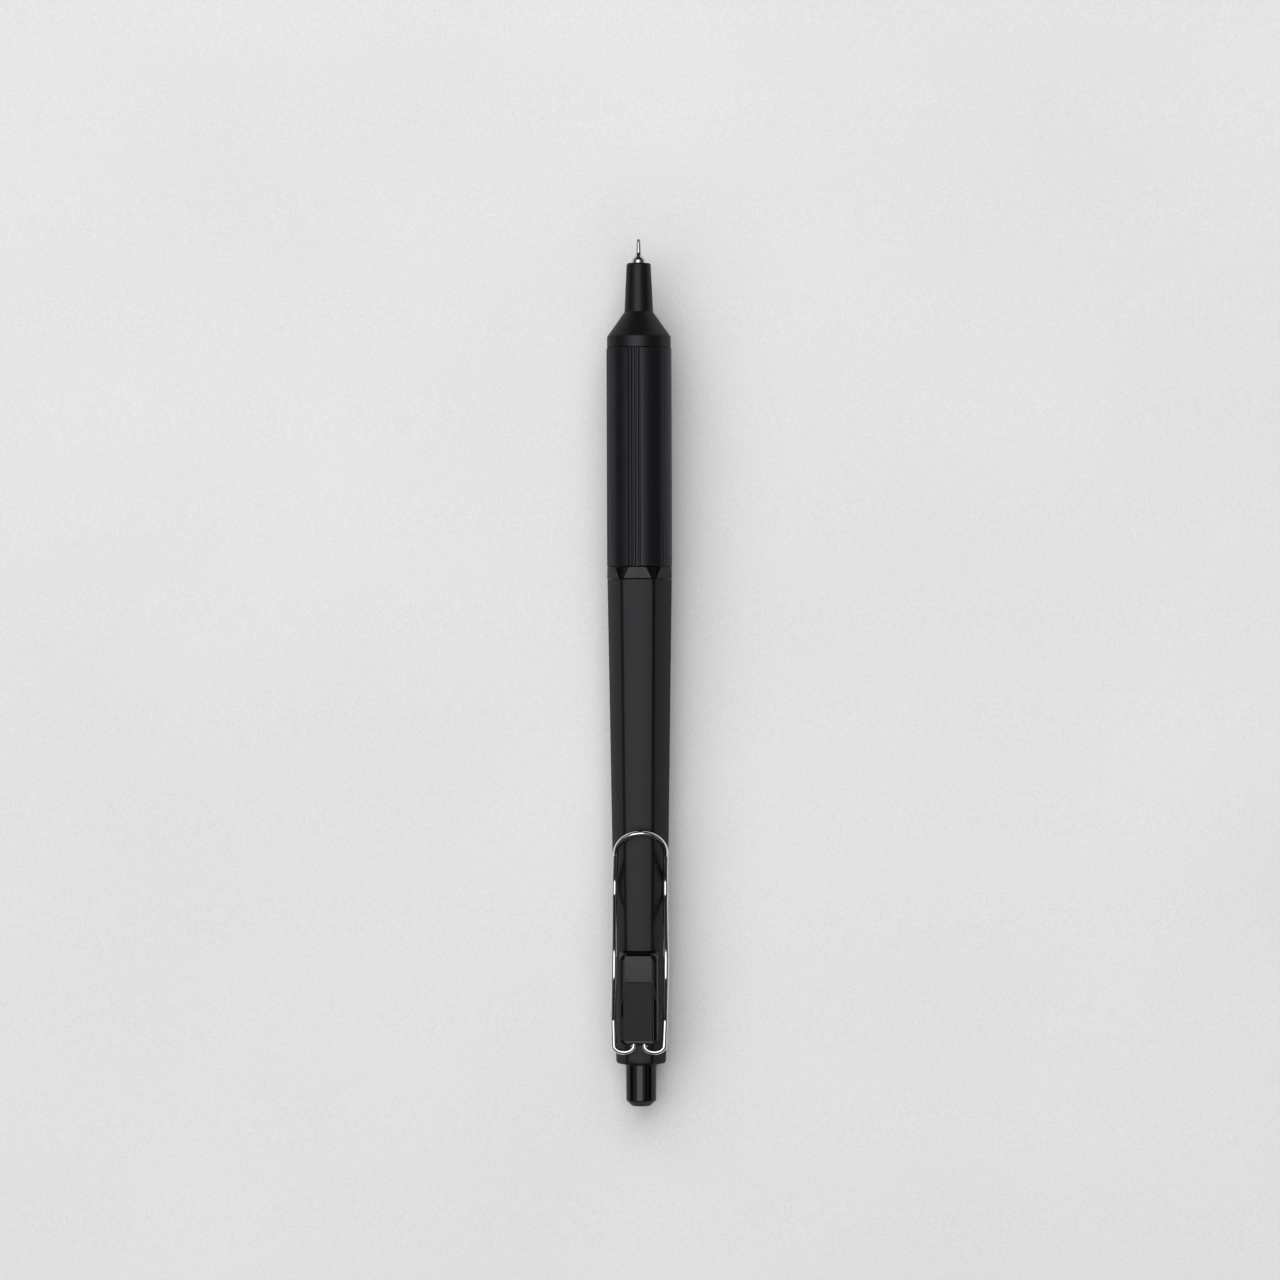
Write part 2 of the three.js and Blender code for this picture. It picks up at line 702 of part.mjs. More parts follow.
class Bow extends THREE.Curve {
  // Half an ellipse: from the centre, one vector reaches its start and one its middle.
  constructor(centre, toStart, toMiddle) {
    super();
    Object.assign(this, { centre, toStart, toMiddle });
  }

  getPoint(share, target = new THREE.Vector3()) {
    const angle = Math.PI * share;
    return target
      .copy(this.centre)
      .addScaledVector(this.toStart, Math.cos(angle))
      .addScaledVector(this.toMiddle, Math.sin(angle));
  }
}

// Straight runs with a rounded bend at each corner between them.
function bentRun(path, points, bends) {
  let from = points[0];
  for (let i = 1; i < points.length - 1; i++) {
    const corner = points[i];
    const back = points[i - 1].clone().sub(corner);
    const on = points[i + 1].clone().sub(corner);
    const half = (Math.PI - back.angleTo(on)) / 2;
    const reach = Math.min(bends[i - 1] * Math.tan(half), back.length() / 2, on.length() / 2);
    const start = corner.clone().addScaledVector(back.normalize(), reach);
    const end = corner.clone().addScaledVector(on.normalize(), reach);
    path.add(new THREE.LineCurve3(from, start));
    path.add(new THREE.QuadraticBezierCurve3(start, corner, end));
    from = end;
  }
  path.add(new THREE.LineCurve3(from, points.at(-1)));
}

function wirePoint(x, station, height) {
  return new THREE.Vector3(x, LENGTH / 2 - station, height);
}

// Height of the wire's centreline over the barrel's side flat.
function heightOverSideFlat(x, station) {
  const reach = barrelFlat(station) + WIRE_RADIUS + ARM_VALLEY_CLEARANCE;
  return 2 * reach - Math.sqrt(3) * x;
}

function wirePath() {
  const valleyStation = hookStation - ARM_VALLEY;
  const valleyHeight = heightOverSideFlat(ARM_VALLEY_SPREAD, valleyStation);
  const valleyCorner = valleyHeight - ARM_VALLEY_SINK;
  const tilt = THREE.MathUtils.degToRad(LOOP_TILT);
  const loopWay = new THREE.Vector3(0, Math.cos(tilt), Math.sin(tilt));
  const hookEnd = WIRE_END_SPREAD + 2 * HOOK_RADIUS;
  const kink = wirePoint(LOOP_SPREAD, hookStation - LOOP_START, valleyHeight + LOOP_START_RISE);
  const arm = [
    wirePoint(hookEnd, hookStation, WIRE_LEVEL),
    wirePoint(ARM_SPREAD, hookStation - ARM_BEND, WIRE_LEVEL),
    wirePoint(ARM_SPREAD, hookStation - ARM_PEAK, ARM_PEAK_HEIGHT),
    wirePoint(ARM_VALLEY_SPREAD, valleyStation, valleyCorner),
    kink,
    kink.clone().addScaledVector(loopWay, LOOP_STRAIGHT),
  ];
  const bends = [ARM_BEND_RADIUS, ARM_PEAK_RADIUS, ARM_VALLEY_RADIUS, LOOP_BEND_RADIUS];
  const mirrored = (points) => points.map((p) => new THREE.Vector3(-p.x, p.y, p.z)).reverse();
  const hook = (side) => {
    const centre = wirePoint(side * (WIRE_END_SPREAD + HOOK_RADIUS), hookStation, WIRE_LEVEL);
    const inward = new THREE.Vector3(-HOOK_RADIUS, 0, 0);
    return new Bow(centre, inward, new THREE.Vector3(0, -HOOK_RADIUS, 0));
  };
  const insideEnd = wirePoint(WIRE_END_SPREAD, holderRear - WIRE_END_DEPTH, WIRE_LEVEL);
  const hookStart = wirePoint(WIRE_END_SPREAD, hookStation, WIRE_LEVEL);
  const loopCentre = arm.at(-1).clone().setX(0);
  const path = new THREE.CurvePath();
  path.add(new THREE.LineCurve3(insideEnd, hookStart));
  path.add(hook(1));
  bentRun(path, arm, bends);
  const toStart = new THREE.Vector3(LOOP_SPREAD, 0, 0);
  path.add(new Bow(loopCentre, toStart, loopWay.clone().multiplyScalar(LOOP_REACH)));
  bentRun(path, mirrored(arm), bends.toReversed());
  path.add(hook(-1));
  path.add(new THREE.LineCurve3(...mirrored([insideEnd, hookStart])));
  return path;
}

function roundSection(radius, sides) {
  const points = [];
  for (let i = 0; i < sides; i++) {
    const angle = (2 * Math.PI * i) / sides;
    points.push(new THREE.Vector2(radius * Math.cos(angle), radius * Math.sin(angle)));
  }
  return new THREE.Shape(points);
}

function wireAlong(path, radius, sides, steps) {
  const section = roundSection(radius, sides);
  return bare(new THREE.ExtrudeGeometry(section, { steps, extrudePath: path, bevelEnabled: false }));
}

// Click cam. Its ramps all follow one helix, on which the rotor's ribs ride back from the
// lands into the grooves.

function ring(inner, outer, front, rear) {
  return turned([
    [inner, front],
    [outer, front],
    [outer, rear],
    [inner, rear],
  ]);
}

function camSleeve() {
  const lands = [];
  const rearRingFront = sleeveRear - SLEEVE_REAR_RING;
  for (let land = 0; land < CAM_LANDS; land++) {
    const middle = (360 / CAM_LANDS) * land;
    lands.push(
      sector(
        landRadius,
        camGroove + ROOT,
        middle - LAND_HALF_ANGLE,
        middle + LAND_HALF_ANGLE,
        (angle) => ribRear + CAM_GAP - camRise * (angle - middle),
        () => rearRingFront + ROOT,
        4,
      ),
    );
  }
  const tube = ring(camGroove, sleeveRadius, sleeveFront, rearRingFront + ROOT);
  const rearRing = ring(landRadius, sleeveRadius, rearRingFront, sleeveRear);
  return joined(tube, rearRing, ...lands);
}

function camRotor() {
  const body = turned([
    [0, rotorFront],
    [ROTOR_HEAD_RADIUS, rotorFront],
    [ROTOR_HEAD_RADIUS, rotorFront + ROTOR_HEAD_LENGTH],
    [ROTOR_BODY_RADIUS, rotorFront + ROTOR_HEAD_LENGTH],
    [ROTOR_BODY_RADIUS, rotorBodyRear],
    [ROTOR_TAIL_RADIUS, rotorBodyRear],
    [ROTOR_TAIL_RADIUS, rotorBodyRear + ROTOR_TAIL_LENGTH],
    [0, rotorBodyRear + ROTOR_TAIL_LENGTH],
  ]);
  const ribs = [];
  for (let rib = 0; rib < CAM_LANDS; rib++) {
    const middle = (360 / CAM_LANDS) * rib;
    ribs.push(
      sector(
        ROTOR_BODY_RADIUS - ROOT,
        ribRadius,
        middle - RIB_HALF_ANGLE,
        middle + RIB_HALF_ANGLE,
        () => ribRear - RIB_LENGTH,
        (angle) => ribRear - camRise * (angle - middle),
        2,
      ),
    );
  }
  return joined(body, ...ribs);
}

// Plunger: a toothed crown round the rotor's tail, four fins in the sleeve's grooves, and
// a stem that ends inside the button.
function camPlunger() {
  const crownFront = rotorBodyRear + CAM_GAP;
  const stepsPerTooth = 4;
  const count = CROWN_TEETH * stepsPerTooth;
  const angles = Array.from({ length: count }, (_, i) => (360 * i) / count);
  const toothDepth = (i) => {
    const share = (i % stepsPerTooth) / stepsPerTooth;
    return CROWN_DEPTH * (1 - Math.abs(2 * share - 1));
  };
  const crown = (radius) => angles.map((angle, i) => at(radius, angle, crownFront + toothDepth(i)));
  const tailBore = ROTOR_TAIL_RADIUS + SLIDE;
  const tailRoom = rotorBodyRear + ROTOR_TAIL_LENGTH + CLOSE_STOP;
  const body = skin(
    [
      roundRing(tailBore, tailRoom, angles),
      crown(tailBore),
      crown(STEM_RADIUS),
      roundRing(STEM_RADIUS, finFront, angles),
      roundRing(ROTOR_BODY_RADIUS, finFront, angles),
      roundRing(ROTOR_BODY_RADIUS, flangeFront - SEAM, angles),
      roundRing(STEM_RADIUS, flangeFront - SEAM, angles),
      roundRing(STEM_RADIUS, buttonBoreEnd - SEAM, angles),
    ],
    false,
  );
  const fins = [];
  for (let fin = 0; fin < CAM_LANDS; fin++) {
    const middle = (360 / CAM_LANDS) * (fin + 0.5);
    fins.push(
      sector(
        ROTOR_BODY_RADIUS - ROOT,
        ribRadius,
        middle - FIN_HALF_ANGLE,
        middle + FIN_HALF_ANGLE,
        () => finFront,
        () => finFront + FIN_LENGTH,
        2,
      ),
    );
  }
  return joined(body, ...fins);
}

// Push button: a cap over the plunger's stem, held in the barrel by its flange.

function pushButton() {
  const bore = STEM_RADIUS + FIT;
  return turned(
    [
      [0, LENGTH],
      [BUTTON_REAR_RADIUS - BUTTON_CHAMFER_RISE, LENGTH],
      [BUTTON_REAR_RADIUS, LENGTH - BUTTON_CHAMFER_RUN],
      [BUTTON_FRONT_RADIUS, barrelEnd],
      [BUTTON_FRONT_RADIUS, flangeRear],
      [sleeveRadius, flangeRear],
      [sleeveRadius, flangeFront],
      [bore, flangeFront],
      [bore, buttonBoreEnd],
      [0, buttonBoreEnd],
    ],
    TURNED_SEGMENTS,
  );
}

// Refill

const needleTipRadius = BALL_RADIUS + BALL_CLEARANCE + NEEDLE_RIM;
const shankStart = NEEDLE_LENGTH + FLARE_LENGTH;
const shankEnd = shankStart + SHANK_LENGTH;
const ballBore = BALL_RADIUS + BALL_CLEARANCE;

function writingBall() {
  const ball = new THREE.SphereGeometry(BALL_RADIUS, 16, 10);
  ball.translate(0, LENGTH / 2 - BALL_RADIUS, 0);
  return bare(ball);
}

function writingTip() {
  const seatEnd = BALL_SEAT_DEPTH + BALL_SEAT_LENGTH;
  const throatEnd = seatEnd + NEEDLE_THROAT_LENGTH;
  const spigotEnd = shankEnd + SHANK_SPIGOT_LENGTH;
  const flare = [0.25, 0.5, 0.75].map((share) => {
    const reach = SHANK_RADIUS - NEEDLE_REAR_RADIUS;
    return [NEEDLE_REAR_RADIUS + reach * share ** 2, NEEDLE_LENGTH + FLARE_LENGTH * Math.sqrt(share)];
  });
  return turned([
    [ballBore, BALL_STANDS_OUT],
    [needleTipRadius, BALL_STANDS_OUT],
    [NEEDLE_MIDDLE_RADIUS, NEEDLE_MIDDLE],
    [NEEDLE_REAR_RADIUS, NEEDLE_LENGTH],
    ...flare,
    [SHANK_RADIUS, shankStart],
    [SHANK_RADIUS, shankEnd],
    [SHANK_SPIGOT_RADIUS, shankEnd],
    [SHANK_SPIGOT_RADIUS, spigotEnd],
    [INK_BORE_RADIUS, spigotEnd],
    [INK_BORE_RADIUS, throatEnd + NEEDLE_THROAT_CONE],
    [NEEDLE_THROAT_RADIUS, throatEnd],
    [NEEDLE_THROAT_RADIUS, seatEnd],
    [ballBore, BALL_SEAT_DEPTH],
  ]);
}

function refillTipHolder() {
  const front = shankEnd + SEAM;
  const spigotRoom = shankEnd + SHANK_SPIGOT_LENGTH + SEAM;
  const collarEnd = refillCollar + COLLAR_LENGTH;
  const rear = collarEnd + TUBE_SPIGOT_LENGTH;
  return turned([
    [SHANK_SPIGOT_RADIUS + FIT, front],
    [SHANK_RADIUS, front],
    [SHANK_RADIUS, refillCollar],
    [REFILL_RADIUS, refillCollar],
    [REFILL_RADIUS, collarEnd],
    [tubeSpigot, collarEnd],
    [tubeSpigot, rear],
    [TIP_HOLDER_BORE_RADIUS, rear],
    [TIP_HOLDER_BORE_RADIUS, spigotRoom],
    [SHANK_SPIGOT_RADIUS + FIT, spigotRoom],
  ]);
}

function refillTube() {
  return ring(tubeBore, REFILL_RADIUS, tubeStart, tubeEnd);
}

const inkStart = refillCollar + COLLAR_LENGTH + TUBE_SPIGOT_LENGTH + SEAM;
const followerStart = inkStart + INK_LENGTH + SEAM;

function rod(radius, front, rear) {
  return turned([
    [0, front],
    [radius, front],
    [radius, rear],
    [0, rear],
  ]);
}

function refillTailPlug() {
  const spigotFront = tubeEnd - TUBE_SPIGOT_LENGTH;
  const headFront = tubeEnd + SEAM;
  return turned([
    [TIP_HOLDER_BORE_RADIUS, spigotFront],
    [tubeSpigot, spigotFront],
    [tubeSpigot, headFront],
    [REFILL_RADIUS, headFront],
    [REFILL_RADIUS, REFILL_LENGTH],
    [TIP_HOLDER_BORE_RADIUS, REFILL_LENGTH],
  ]);
}

// Return spring: a helix whose first and last turns lie close together.

class Helix extends THREE.Curve {
  getPoint(share, target = new THREE.Vector3()) {
    const turn = share * SPRING_TURNS;
    const clear = SPRING_WIRE_RADIUS + SEAM;
    const from = springSeat + clear;
    const length = SPRING_LENGTH - 2 * clear;
    const openPitch = (length - 2 * SPRING_END_PITCH) / (SPRING_TURNS - 2);
    const open = THREE.MathUtils.clamp(turn - 1, 0, SPRING_TURNS - 2);
    const along = from + (turn - open) * SPRING_END_PITCH + open * openPitch;
    return target.copy(at(SPRING_RADIUS, turn * 360, along));
  }
}

function returnSpring() {
  return wireAlong(new Helix(), SPRING_WIRE_RADIUS, 5, SPRING_TURNS * 8);
}

// The pen, with the point out.

const pen = new THREE.Group();
const blackSatin = { color: 0x1d1e20, roughness: 0.5, metalness: 0.35 };
const blackPiano = { color: 0x0e0f11, roughness: 0.16, metalness: 0.2 };
const brightSteel = { color: 0xd4d5d8, roughness: 0.12, metalness: 1 };
const nickel = { color: 0xb9b6ae, roughness: 0.25, metalness: 1 };
const brass = { color: 0xc2a15a, roughness: 0.3, metalness: 1 };
const darkPlastic = { color: 0x2a2b2e, roughness: 0.55, metalness: 0 };
const paleNylon = { color: 0xd9d8d2, roughness: 0.6, metalness: 0 };

function add(name, geometry, look) {
  geometry.computeVertexNormals();
  const mesh = new THREE.Mesh(geometry, new THREE.MeshStandardMaterial({ ...look, flatShading: true }));
  mesh.name = name;
  pen.add(mesh);
}

add("nose_cone", noseCone(), blackSatin);
add("grip_sleeve", gripSleeve(), blackSatin);
add("grip_coupler", gripCoupler(), blackSatin);
add("joint_ring", jointRing(), blackPiano);
add("barrel", barrel(), blackSatin);
add("clip_holder", clipHolder(), blackSatin);
add("holder_front_pad", holderFrontPad(), blackPiano);
add("holder_rear_cover", holderRearCover(), blackSatin);
add("clip_wire", wireAlong(wirePath(), WIRE_RADIUS, WIRE_SIDES, WIRE_STEPS), brightSteel);
add("cam_sleeve", camSleeve(), paleNylon);
add("cam_rotor", camRotor(), darkPlastic);
add("cam_plunger", camPlunger(), paleNylon);
add("push_button", pushButton(), blackPiano);
add("return_spring", returnSpring(), brightSteel);
add("writing_ball", writingBall(), brightSteel);
add("writing_tip", writingTip(), nickel);
add("refill_tip_holder", refillTipHolder(), brass);
add("refill_tube", refillTube(), nickel);
add("ink_column", rod(tubeSpigot, inkStart, inkStart + INK_LENGTH), { ...blackPiano, metalness: 0 });
add("ink_follower", rod(tubeSpigot, followerStart, followerStart + FOLLOWER_LENGTH), paleNylon);
add("refill_tail_plug", refillTailPlug(), darkPlastic);

pen.position.z = AXIS_HEIGHT;

const part = new THREE.Group();
part.add(pen);
export default part;
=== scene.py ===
# %% [markdown]
# # A slim click pen with a clip bent from wire
# The real pen is coated metal: a turned nose, a fluted grip, a six-sided barrel that narrows
# to the rear, a small block on top, and a clip bent from one bright spring wire. The packed
# model is the frame: it holds every place and joint. This script lays finely shaped and
# finished pieces over it, each riding on its body.

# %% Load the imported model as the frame
import math

import bmesh
import bpy
from mathutils import Matrix, Vector


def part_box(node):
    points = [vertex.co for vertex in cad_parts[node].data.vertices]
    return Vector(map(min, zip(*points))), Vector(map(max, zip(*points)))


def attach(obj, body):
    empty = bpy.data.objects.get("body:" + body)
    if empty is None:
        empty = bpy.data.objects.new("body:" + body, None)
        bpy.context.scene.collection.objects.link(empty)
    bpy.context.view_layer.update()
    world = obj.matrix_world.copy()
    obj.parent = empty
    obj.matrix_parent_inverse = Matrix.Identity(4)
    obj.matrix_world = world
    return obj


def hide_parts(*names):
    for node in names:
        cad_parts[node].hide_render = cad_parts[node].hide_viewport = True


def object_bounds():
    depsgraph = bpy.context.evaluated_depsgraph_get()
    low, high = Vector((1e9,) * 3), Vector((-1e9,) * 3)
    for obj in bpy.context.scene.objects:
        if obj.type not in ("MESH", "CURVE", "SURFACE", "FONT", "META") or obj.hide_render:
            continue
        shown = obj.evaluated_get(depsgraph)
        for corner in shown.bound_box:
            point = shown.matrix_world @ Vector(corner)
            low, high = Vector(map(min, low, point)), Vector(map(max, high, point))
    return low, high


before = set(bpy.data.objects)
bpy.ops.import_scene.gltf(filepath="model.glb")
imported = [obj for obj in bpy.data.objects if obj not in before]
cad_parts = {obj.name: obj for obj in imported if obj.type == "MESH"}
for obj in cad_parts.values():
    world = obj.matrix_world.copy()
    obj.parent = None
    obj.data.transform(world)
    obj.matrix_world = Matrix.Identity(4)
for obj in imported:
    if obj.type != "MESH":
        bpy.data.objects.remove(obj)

cad_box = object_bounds()

# %% [markdown]
# Along a pen it is easiest to say how far a thing lies behind the writing point: that is its
# station here, in millimetres. The frame's boxes give the stations of every node, so the
# pieces below follow the model if it is packed again.

# %% Stations along the pen
MM = 0.001
TIP_Y = cad_box[1].y / MM
AXIS_HEIGHT = (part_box("push_button")[0].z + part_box("push_button")[1].z) / 2 / MM


def ends(node):
    """The stations of a node's front and rear."""
    lowest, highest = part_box(node)
    return TIP_Y - highest.y / MM, TIP_Y - lowest.y / MM


def above(x, station, height):
    """A point at a height above the pen's axis."""
    return Vector((x, TIP_Y - station, AXIS_HEIGHT + height)) * MM


def at(radius, degrees, station):
    """A point round the pen's axis; the angle starts at the top and goes towards +X."""
    angle = math.radians(degrees)
    return above(radius * math.sin(angle), station, radius * math.cos(angle))


grip_front, grip_rear = ends("grip_sleeve")
ring_front, ring_rear = ends("joint_ring")
barrel_front, barrel_rear = ends("barrel")
button_front, button_rear = ends("push_button")
block_front, block_rear = ends("clip_holder")
print(f"grip {grip_front:.2f} to {grip_rear:.2f}, barrel {barrel_front:.2f} to {barrel_rear:.2f}")

# %% [markdown]
# ## Node trees
# A finish and a modifier are both trees of nodes. Written out node by node they hide the idea,
# so two small classes do the typing. `Signal` wraps an output socket, and a sum on it, such as
# `cloud - 0.5`, adds a Math node. `Graph` adds any other node in one call.

# %% Signals and graphs
class Signal:
    """One output socket of a node tree, with sums that add Math nodes."""

    def __init__(self, graph, socket):
        self.graph, self.socket = graph, socket

    def __add__(self, other):
        return self.graph.calc("ADD", self, other)

    __radd__ = __add__

    def __sub__(self, other):
        return self.graph.calc("SUBTRACT", self, other)

    def __mul__(self, other):
        return self.graph.calc("MULTIPLY", self, other)

    def __truediv__(self, other):
        return self.graph.calc("DIVIDE", self, other)

    def __rtruediv__(self, other):
        return self.graph.calc("DIVIDE", other, self)


class Graph:
    """Adds nodes to one tree."""

    def __init__(self, tree):
        self.tree = tree

    def feed(self, socket, value):
        if isinstance(value, Signal):
            self.tree.links.new(value.socket, socket)
        else:
            socket.default_value = value

    def node(self, kind, settings=None, sockets=None, out=0):
        made = self.tree.nodes.new(kind)
        for name, value in (settings or {}).items():
            setattr(made, name, value)
        for name, value in (sockets or {}).items():
            self.feed(made.inputs[name], value)
        return Signal(self, made.outputs[out])

    def calc(self, operation, *values):
        return self.node("ShaderNodeMath", {"operation": operation}, dict(enumerate(values)))

    def shape(self, kind, **sockets):
        return self.node("GeometryNode" + kind, None, sockets)


# %% [markdown]
# ## Finishes
# A finish is one shader. Its steady numbers are set directly, and its varying ones, such as a
# roughness that wanders, come in by links. All patterns read Object coordinates: every piece's
# object sits at the origin, so the grain has one size and never slides when a piece moves.

# %% The class for a finish
MIX_A, MIX_B = 6, 7  # the two colour inputs of a Mix node
MIX_OUT = 2  # its colour output


class Finish(Graph):
    """A material with one shader."""

    def __init__(self, name, **steady):
        self.material = bpy.data.materials.new(name)
        self.material.use_nodes = True
        super().__init__(self.material.node_tree)
        self.shader = self.tree.nodes["Principled BSDF"]
        self.place = self.node("ShaderNodeTexCoord", out="Object")
        for socket, value in steady.items():
            self.shader.inputs[socket.replace("_", " ")].default_value = value
        print("finish:", name)

    def noise(self, size, stretch=(1, 1, 1), detail=2.0):
        """Soft spots of a size in millimetres; a stretch of 0.1 makes them ten times longer."""
        place = self.node("ShaderNodeMapping", None, {"Vector": self.place, "Scale": stretch})
        sockets = {"Vector": place, "Scale": 1 / (size * MM), "Detail": detail}
        return self.node("ShaderNodeTexNoise", {"noise_dimensions": "3D"}, sockets)

    def step(self, value, low, high):
        """0 below one value and 1 above the other, with a soft way between."""
        sockets = {"Value": value, "From Min": low, "From Max": high}
        return self.node("ShaderNodeMapRange", {"interpolation_type": "SMOOTHSTEP"}, sockets)

    def between(self, colour, other, share):
        sockets = {"Factor": share, MIX_A: (*colour, 1), MIX_B: (*other, 1)}
        return self.node("ShaderNodeMix", {"data_type": "RGBA"}, sockets, out=MIX_OUT)

    def relief(self, height, depth):
        """Tilts the surface's light as if it had this height; the depth is in millimetres."""
        sockets = {"Strength": 1.0, "Distance": depth * MM, "Height": height}
        self.drive("Normal", self.node("ShaderNodeBump", None, sockets))

    def drive(self, socket, signal):
        self.feed(self.shader.inputs[socket], signal)


# %% [markdown]
# The nose, the grip, the barrel and the rear plate wear a satin black coat, sprayed and baked
# on metal: a fine orange peel, not quite black and not quite even in gloss. A clear layer over
# black paint would glare at a slant, and the real coat doesn't. So the shader takes it as a
# dark metal: the colour says how much it mirrors from straight ahead, and a grey tint holds
# down what it mirrors at a slant.

# %% Satin black coat
def satin_coat(name, dark, light, roughness, tint=(0.98, 0.99, 1.05)):
    held_down = (0.75, 0.75, 0.75, 1)
    coat = Finish(name, Metallic=0.95, Specular_IOR_Level=0.0, Specular_Tint=held_down)
    grain = coat.noise(0.09, detail=3)
    cloud = coat.noise(2.6)
    low = tuple(dark * share for share in tint)
    high = tuple(light * share for share in tint)
    spots = coat.step(grain * 0.6 + cloud * 0.4, 0.3, 0.7)
    coat.drive("Base Color", coat.between(low, high, spots))
    coat.drive("Roughness", roughness + (cloud - 0.5) * 0.05 + (grain - 0.5) * 0.04)
    coat.relief(grain, 0.0025)
    return coat


nose_coat = satin_coat("nose coat", 0.0385, 0.043, 0.42)
body_coat = satin_coat("satin black coat", 0.031, 0.0355, 0.43)
plate_coat = satin_coat("rear plate's coat", 0.025, 0.029, 0.45)
grip_coat = satin_coat("grip coat", 0.044, 0.049, 0.39, tint=(0.93, 0.97, 1.14))

# %% [markdown]
# The ring, the clip block, the front plate and the button have a glossier top coat, which
# looks lighter than the satin one where it faces a lamp and blacker elsewhere. It is a dark
# metal to the shader as well. Fine hairlines break the mirror, as on any handled button.

# %% Glossy black coat
def gloss_coat(name, mirror, roughness, hairlines):
    held_down = (0.7, 0.7, 0.7, 1)
    coat = Finish(name, Metallic=0.97, Specular_IOR_Level=0.0, Specular_Tint=held_down)
    cloud = coat.noise(1.8)
    lines = coat.noise(0.05, stretch=(1, 0.03, 1), detail=1)
    low = tuple(mirror * 0.92 * share for share in (1, 1, 1.03))
    high = tuple(mirror * 1.08 * share for share in (1, 1, 1.03))
    coat.drive("Base Color", coat.between(low, high, cloud))
    coat.drive("Roughness", roughness + (cloud - 0.5) * 0.04 + (lines - 0.5) * hairlines)
    coat.relief(lines, 0.0006)
    return coat


ring_coat = gloss_coat("semi-gloss black coat", 0.036, 0.22, 0.06)
button_coat = gloss_coat("glossy black coat", 0.041, 0.13, 0.06)

# %% [markdown]
# The clip is spring wire, drawn through a die and then plated bright. Drawing leaves faint
# lines along the wire, and the plating hides most of them, so the roughness varies a little.

# %% Plated wire
wire_plate = Finish("bright plated wire", Metallic=1.0)
wire_spots = wire_plate.noise(0.7)
wire_fine = wire_plate.noise(0.06, stretch=(1, 0.15, 1))
wire_tone = wire_plate.between((0.74, 0.74, 0.75), (0.86, 0.86, 0.86), wire_spots)
wire_plate.drive("Base Color", wire_tone)
wire_plate.drive("Roughness", 0.075 + wire_spots * 0.05 + wire_fine * 0.03)
wire_plate.relief(wire_fine, 0.0004)

# %% [markdown]
# The writing tip is turned from bright nickel silver. A lathe leaves rings round the axis, so
# its grain is squeezed along the pen and stretched across it.

# %% Turned metals
def turned_metal(name, dark, light, roughness):
    metal = Finish(name, Metallic=1.0)
    rings = metal.noise(0.035, stretch=(0.04, 1, 0.04))
    stains = metal.noise(0.8)
    metal.drive("Base Color", metal.between(dark, light, rings * 0.4 + stains * 0.6))
    metal.drive("Roughness", roughness + (rings - 0.5) * 0.12 + (stains - 0.5) * 0.06)
    metal.relief(rings, 0.0008)
    return metal


tip_metal = turned_metal("turned nickel silver", (0.60, 0.58, 0.55), (0.78, 0.77, 0.75), 0.17)
brass_metal = turned_metal("turned brass", (0.62, 0.44, 0.20), (0.80, 0.62, 0.32), 0.26)
ball_metal = turned_metal("polished carbide ball", (0.42, 0.42, 0.43), (0.55, 0.55, 0.56), 0.08)


# %% [markdown]
# Tube and spring wire are drawn, so their marks run along the pen. The plastics inside are
# moulded: a faint cloud in colour and gloss, and a fine texture from the mould.

# %% Drawn metals and moulded plastics
def drawn_metal(name, dark, light, roughness):
    metal = Finish(name, Metallic=1.0)
    lines = metal.noise(0.04, stretch=(1, 0.02, 1))
    metal.drive("Base Color", metal.between(dark, light, lines))
    metal.drive("Roughness", roughness + (lines - 0.5) * 0.15)
    metal.relief(lines, 0.0008)
    return metal


def moulded(name, dark, light, roughness):
    plastic = Finish(name, IOR=1.49)
    cloud = plastic.noise(1.2)
    skin_grain = plastic.noise(0.07)
    plastic.drive("Base Color", plastic.between(dark, light, cloud))
    plastic.drive("Roughness", roughness + (cloud - 0.5) * 0.1 + (skin_grain - 0.5) * 0.06)
    plastic.relief(skin_grain, 0.0015)
    return plastic


# Painted shade: the coupler is brass in the model. It is finished near black so that the seams
# beside the grip stay dark, as shade keeps them.
seam_shade_black = turned_metal("blackened thread", (0.012, 0.012, 0.013), (0.020, 0.020, 0.022), 0.5)
tube_metal = drawn_metal("drawn refill tube", (0.55, 0.54, 0.52), (0.70, 0.69, 0.67), 0.27)
spring_metal = drawn_metal("drawn spring wire", (0.50, 0.50, 0.52), (0.66, 0.66, 0.68), 0.22)
pale_nylon = moulded("pale nylon", (0.66, 0.65, 0.60), (0.74, 0.73, 0.69), 0.48)
dark_nylon = moulded("dark nylon", (0.030, 0.031, 0.034), (0.042, 0.043, 0.047), 0.45)
ink_black = moulded("black ink", (0.004, 0.004, 0.006), (0.008, 0.008, 0.010), 0.14)

# %% [markdown]
# The pieces inside show only when the pen is taken apart, so they stay as the model has them
# and get just a finish, each through its own slot.

# %% Finishes for the nodes that stay
INSIDE = {
    # painted shade: near black, so that the seams beside the coupler stay dark
    "grip_coupler": seam_shade_black,
    "cam_sleeve": pale_nylon,
    "cam_rotor": dark_nylon,
    "cam_plunger": pale_nylon,
    "return_spring": spring_metal,
    "refill_tip_holder": brass_metal,
    "refill_tube": tube_metal,
    "ink_column": ink_black,
    "ink_follower": pale_nylon,
    "refill_tail_plug": dark_nylon,
}
for node, finish in INSIDE.items():
    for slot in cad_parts[node].material_slots:
        slot.material = finish.material
print(len(INSIDE), "inner nodes have their finish")

# %% [markdown]
# ## Shapes
# Most outer pieces are skins through rings of points: every ring has as many points, and
# faces join each ring to the next. Closing the last ring to the first makes a tube with a
# wall, and closing each end with a fan makes a block. Smooth shading would bend the light over
# a flat face beside a rounded edge, so the normals are weighted by area: the large face keeps
# its own, and the small ones take up the curve.

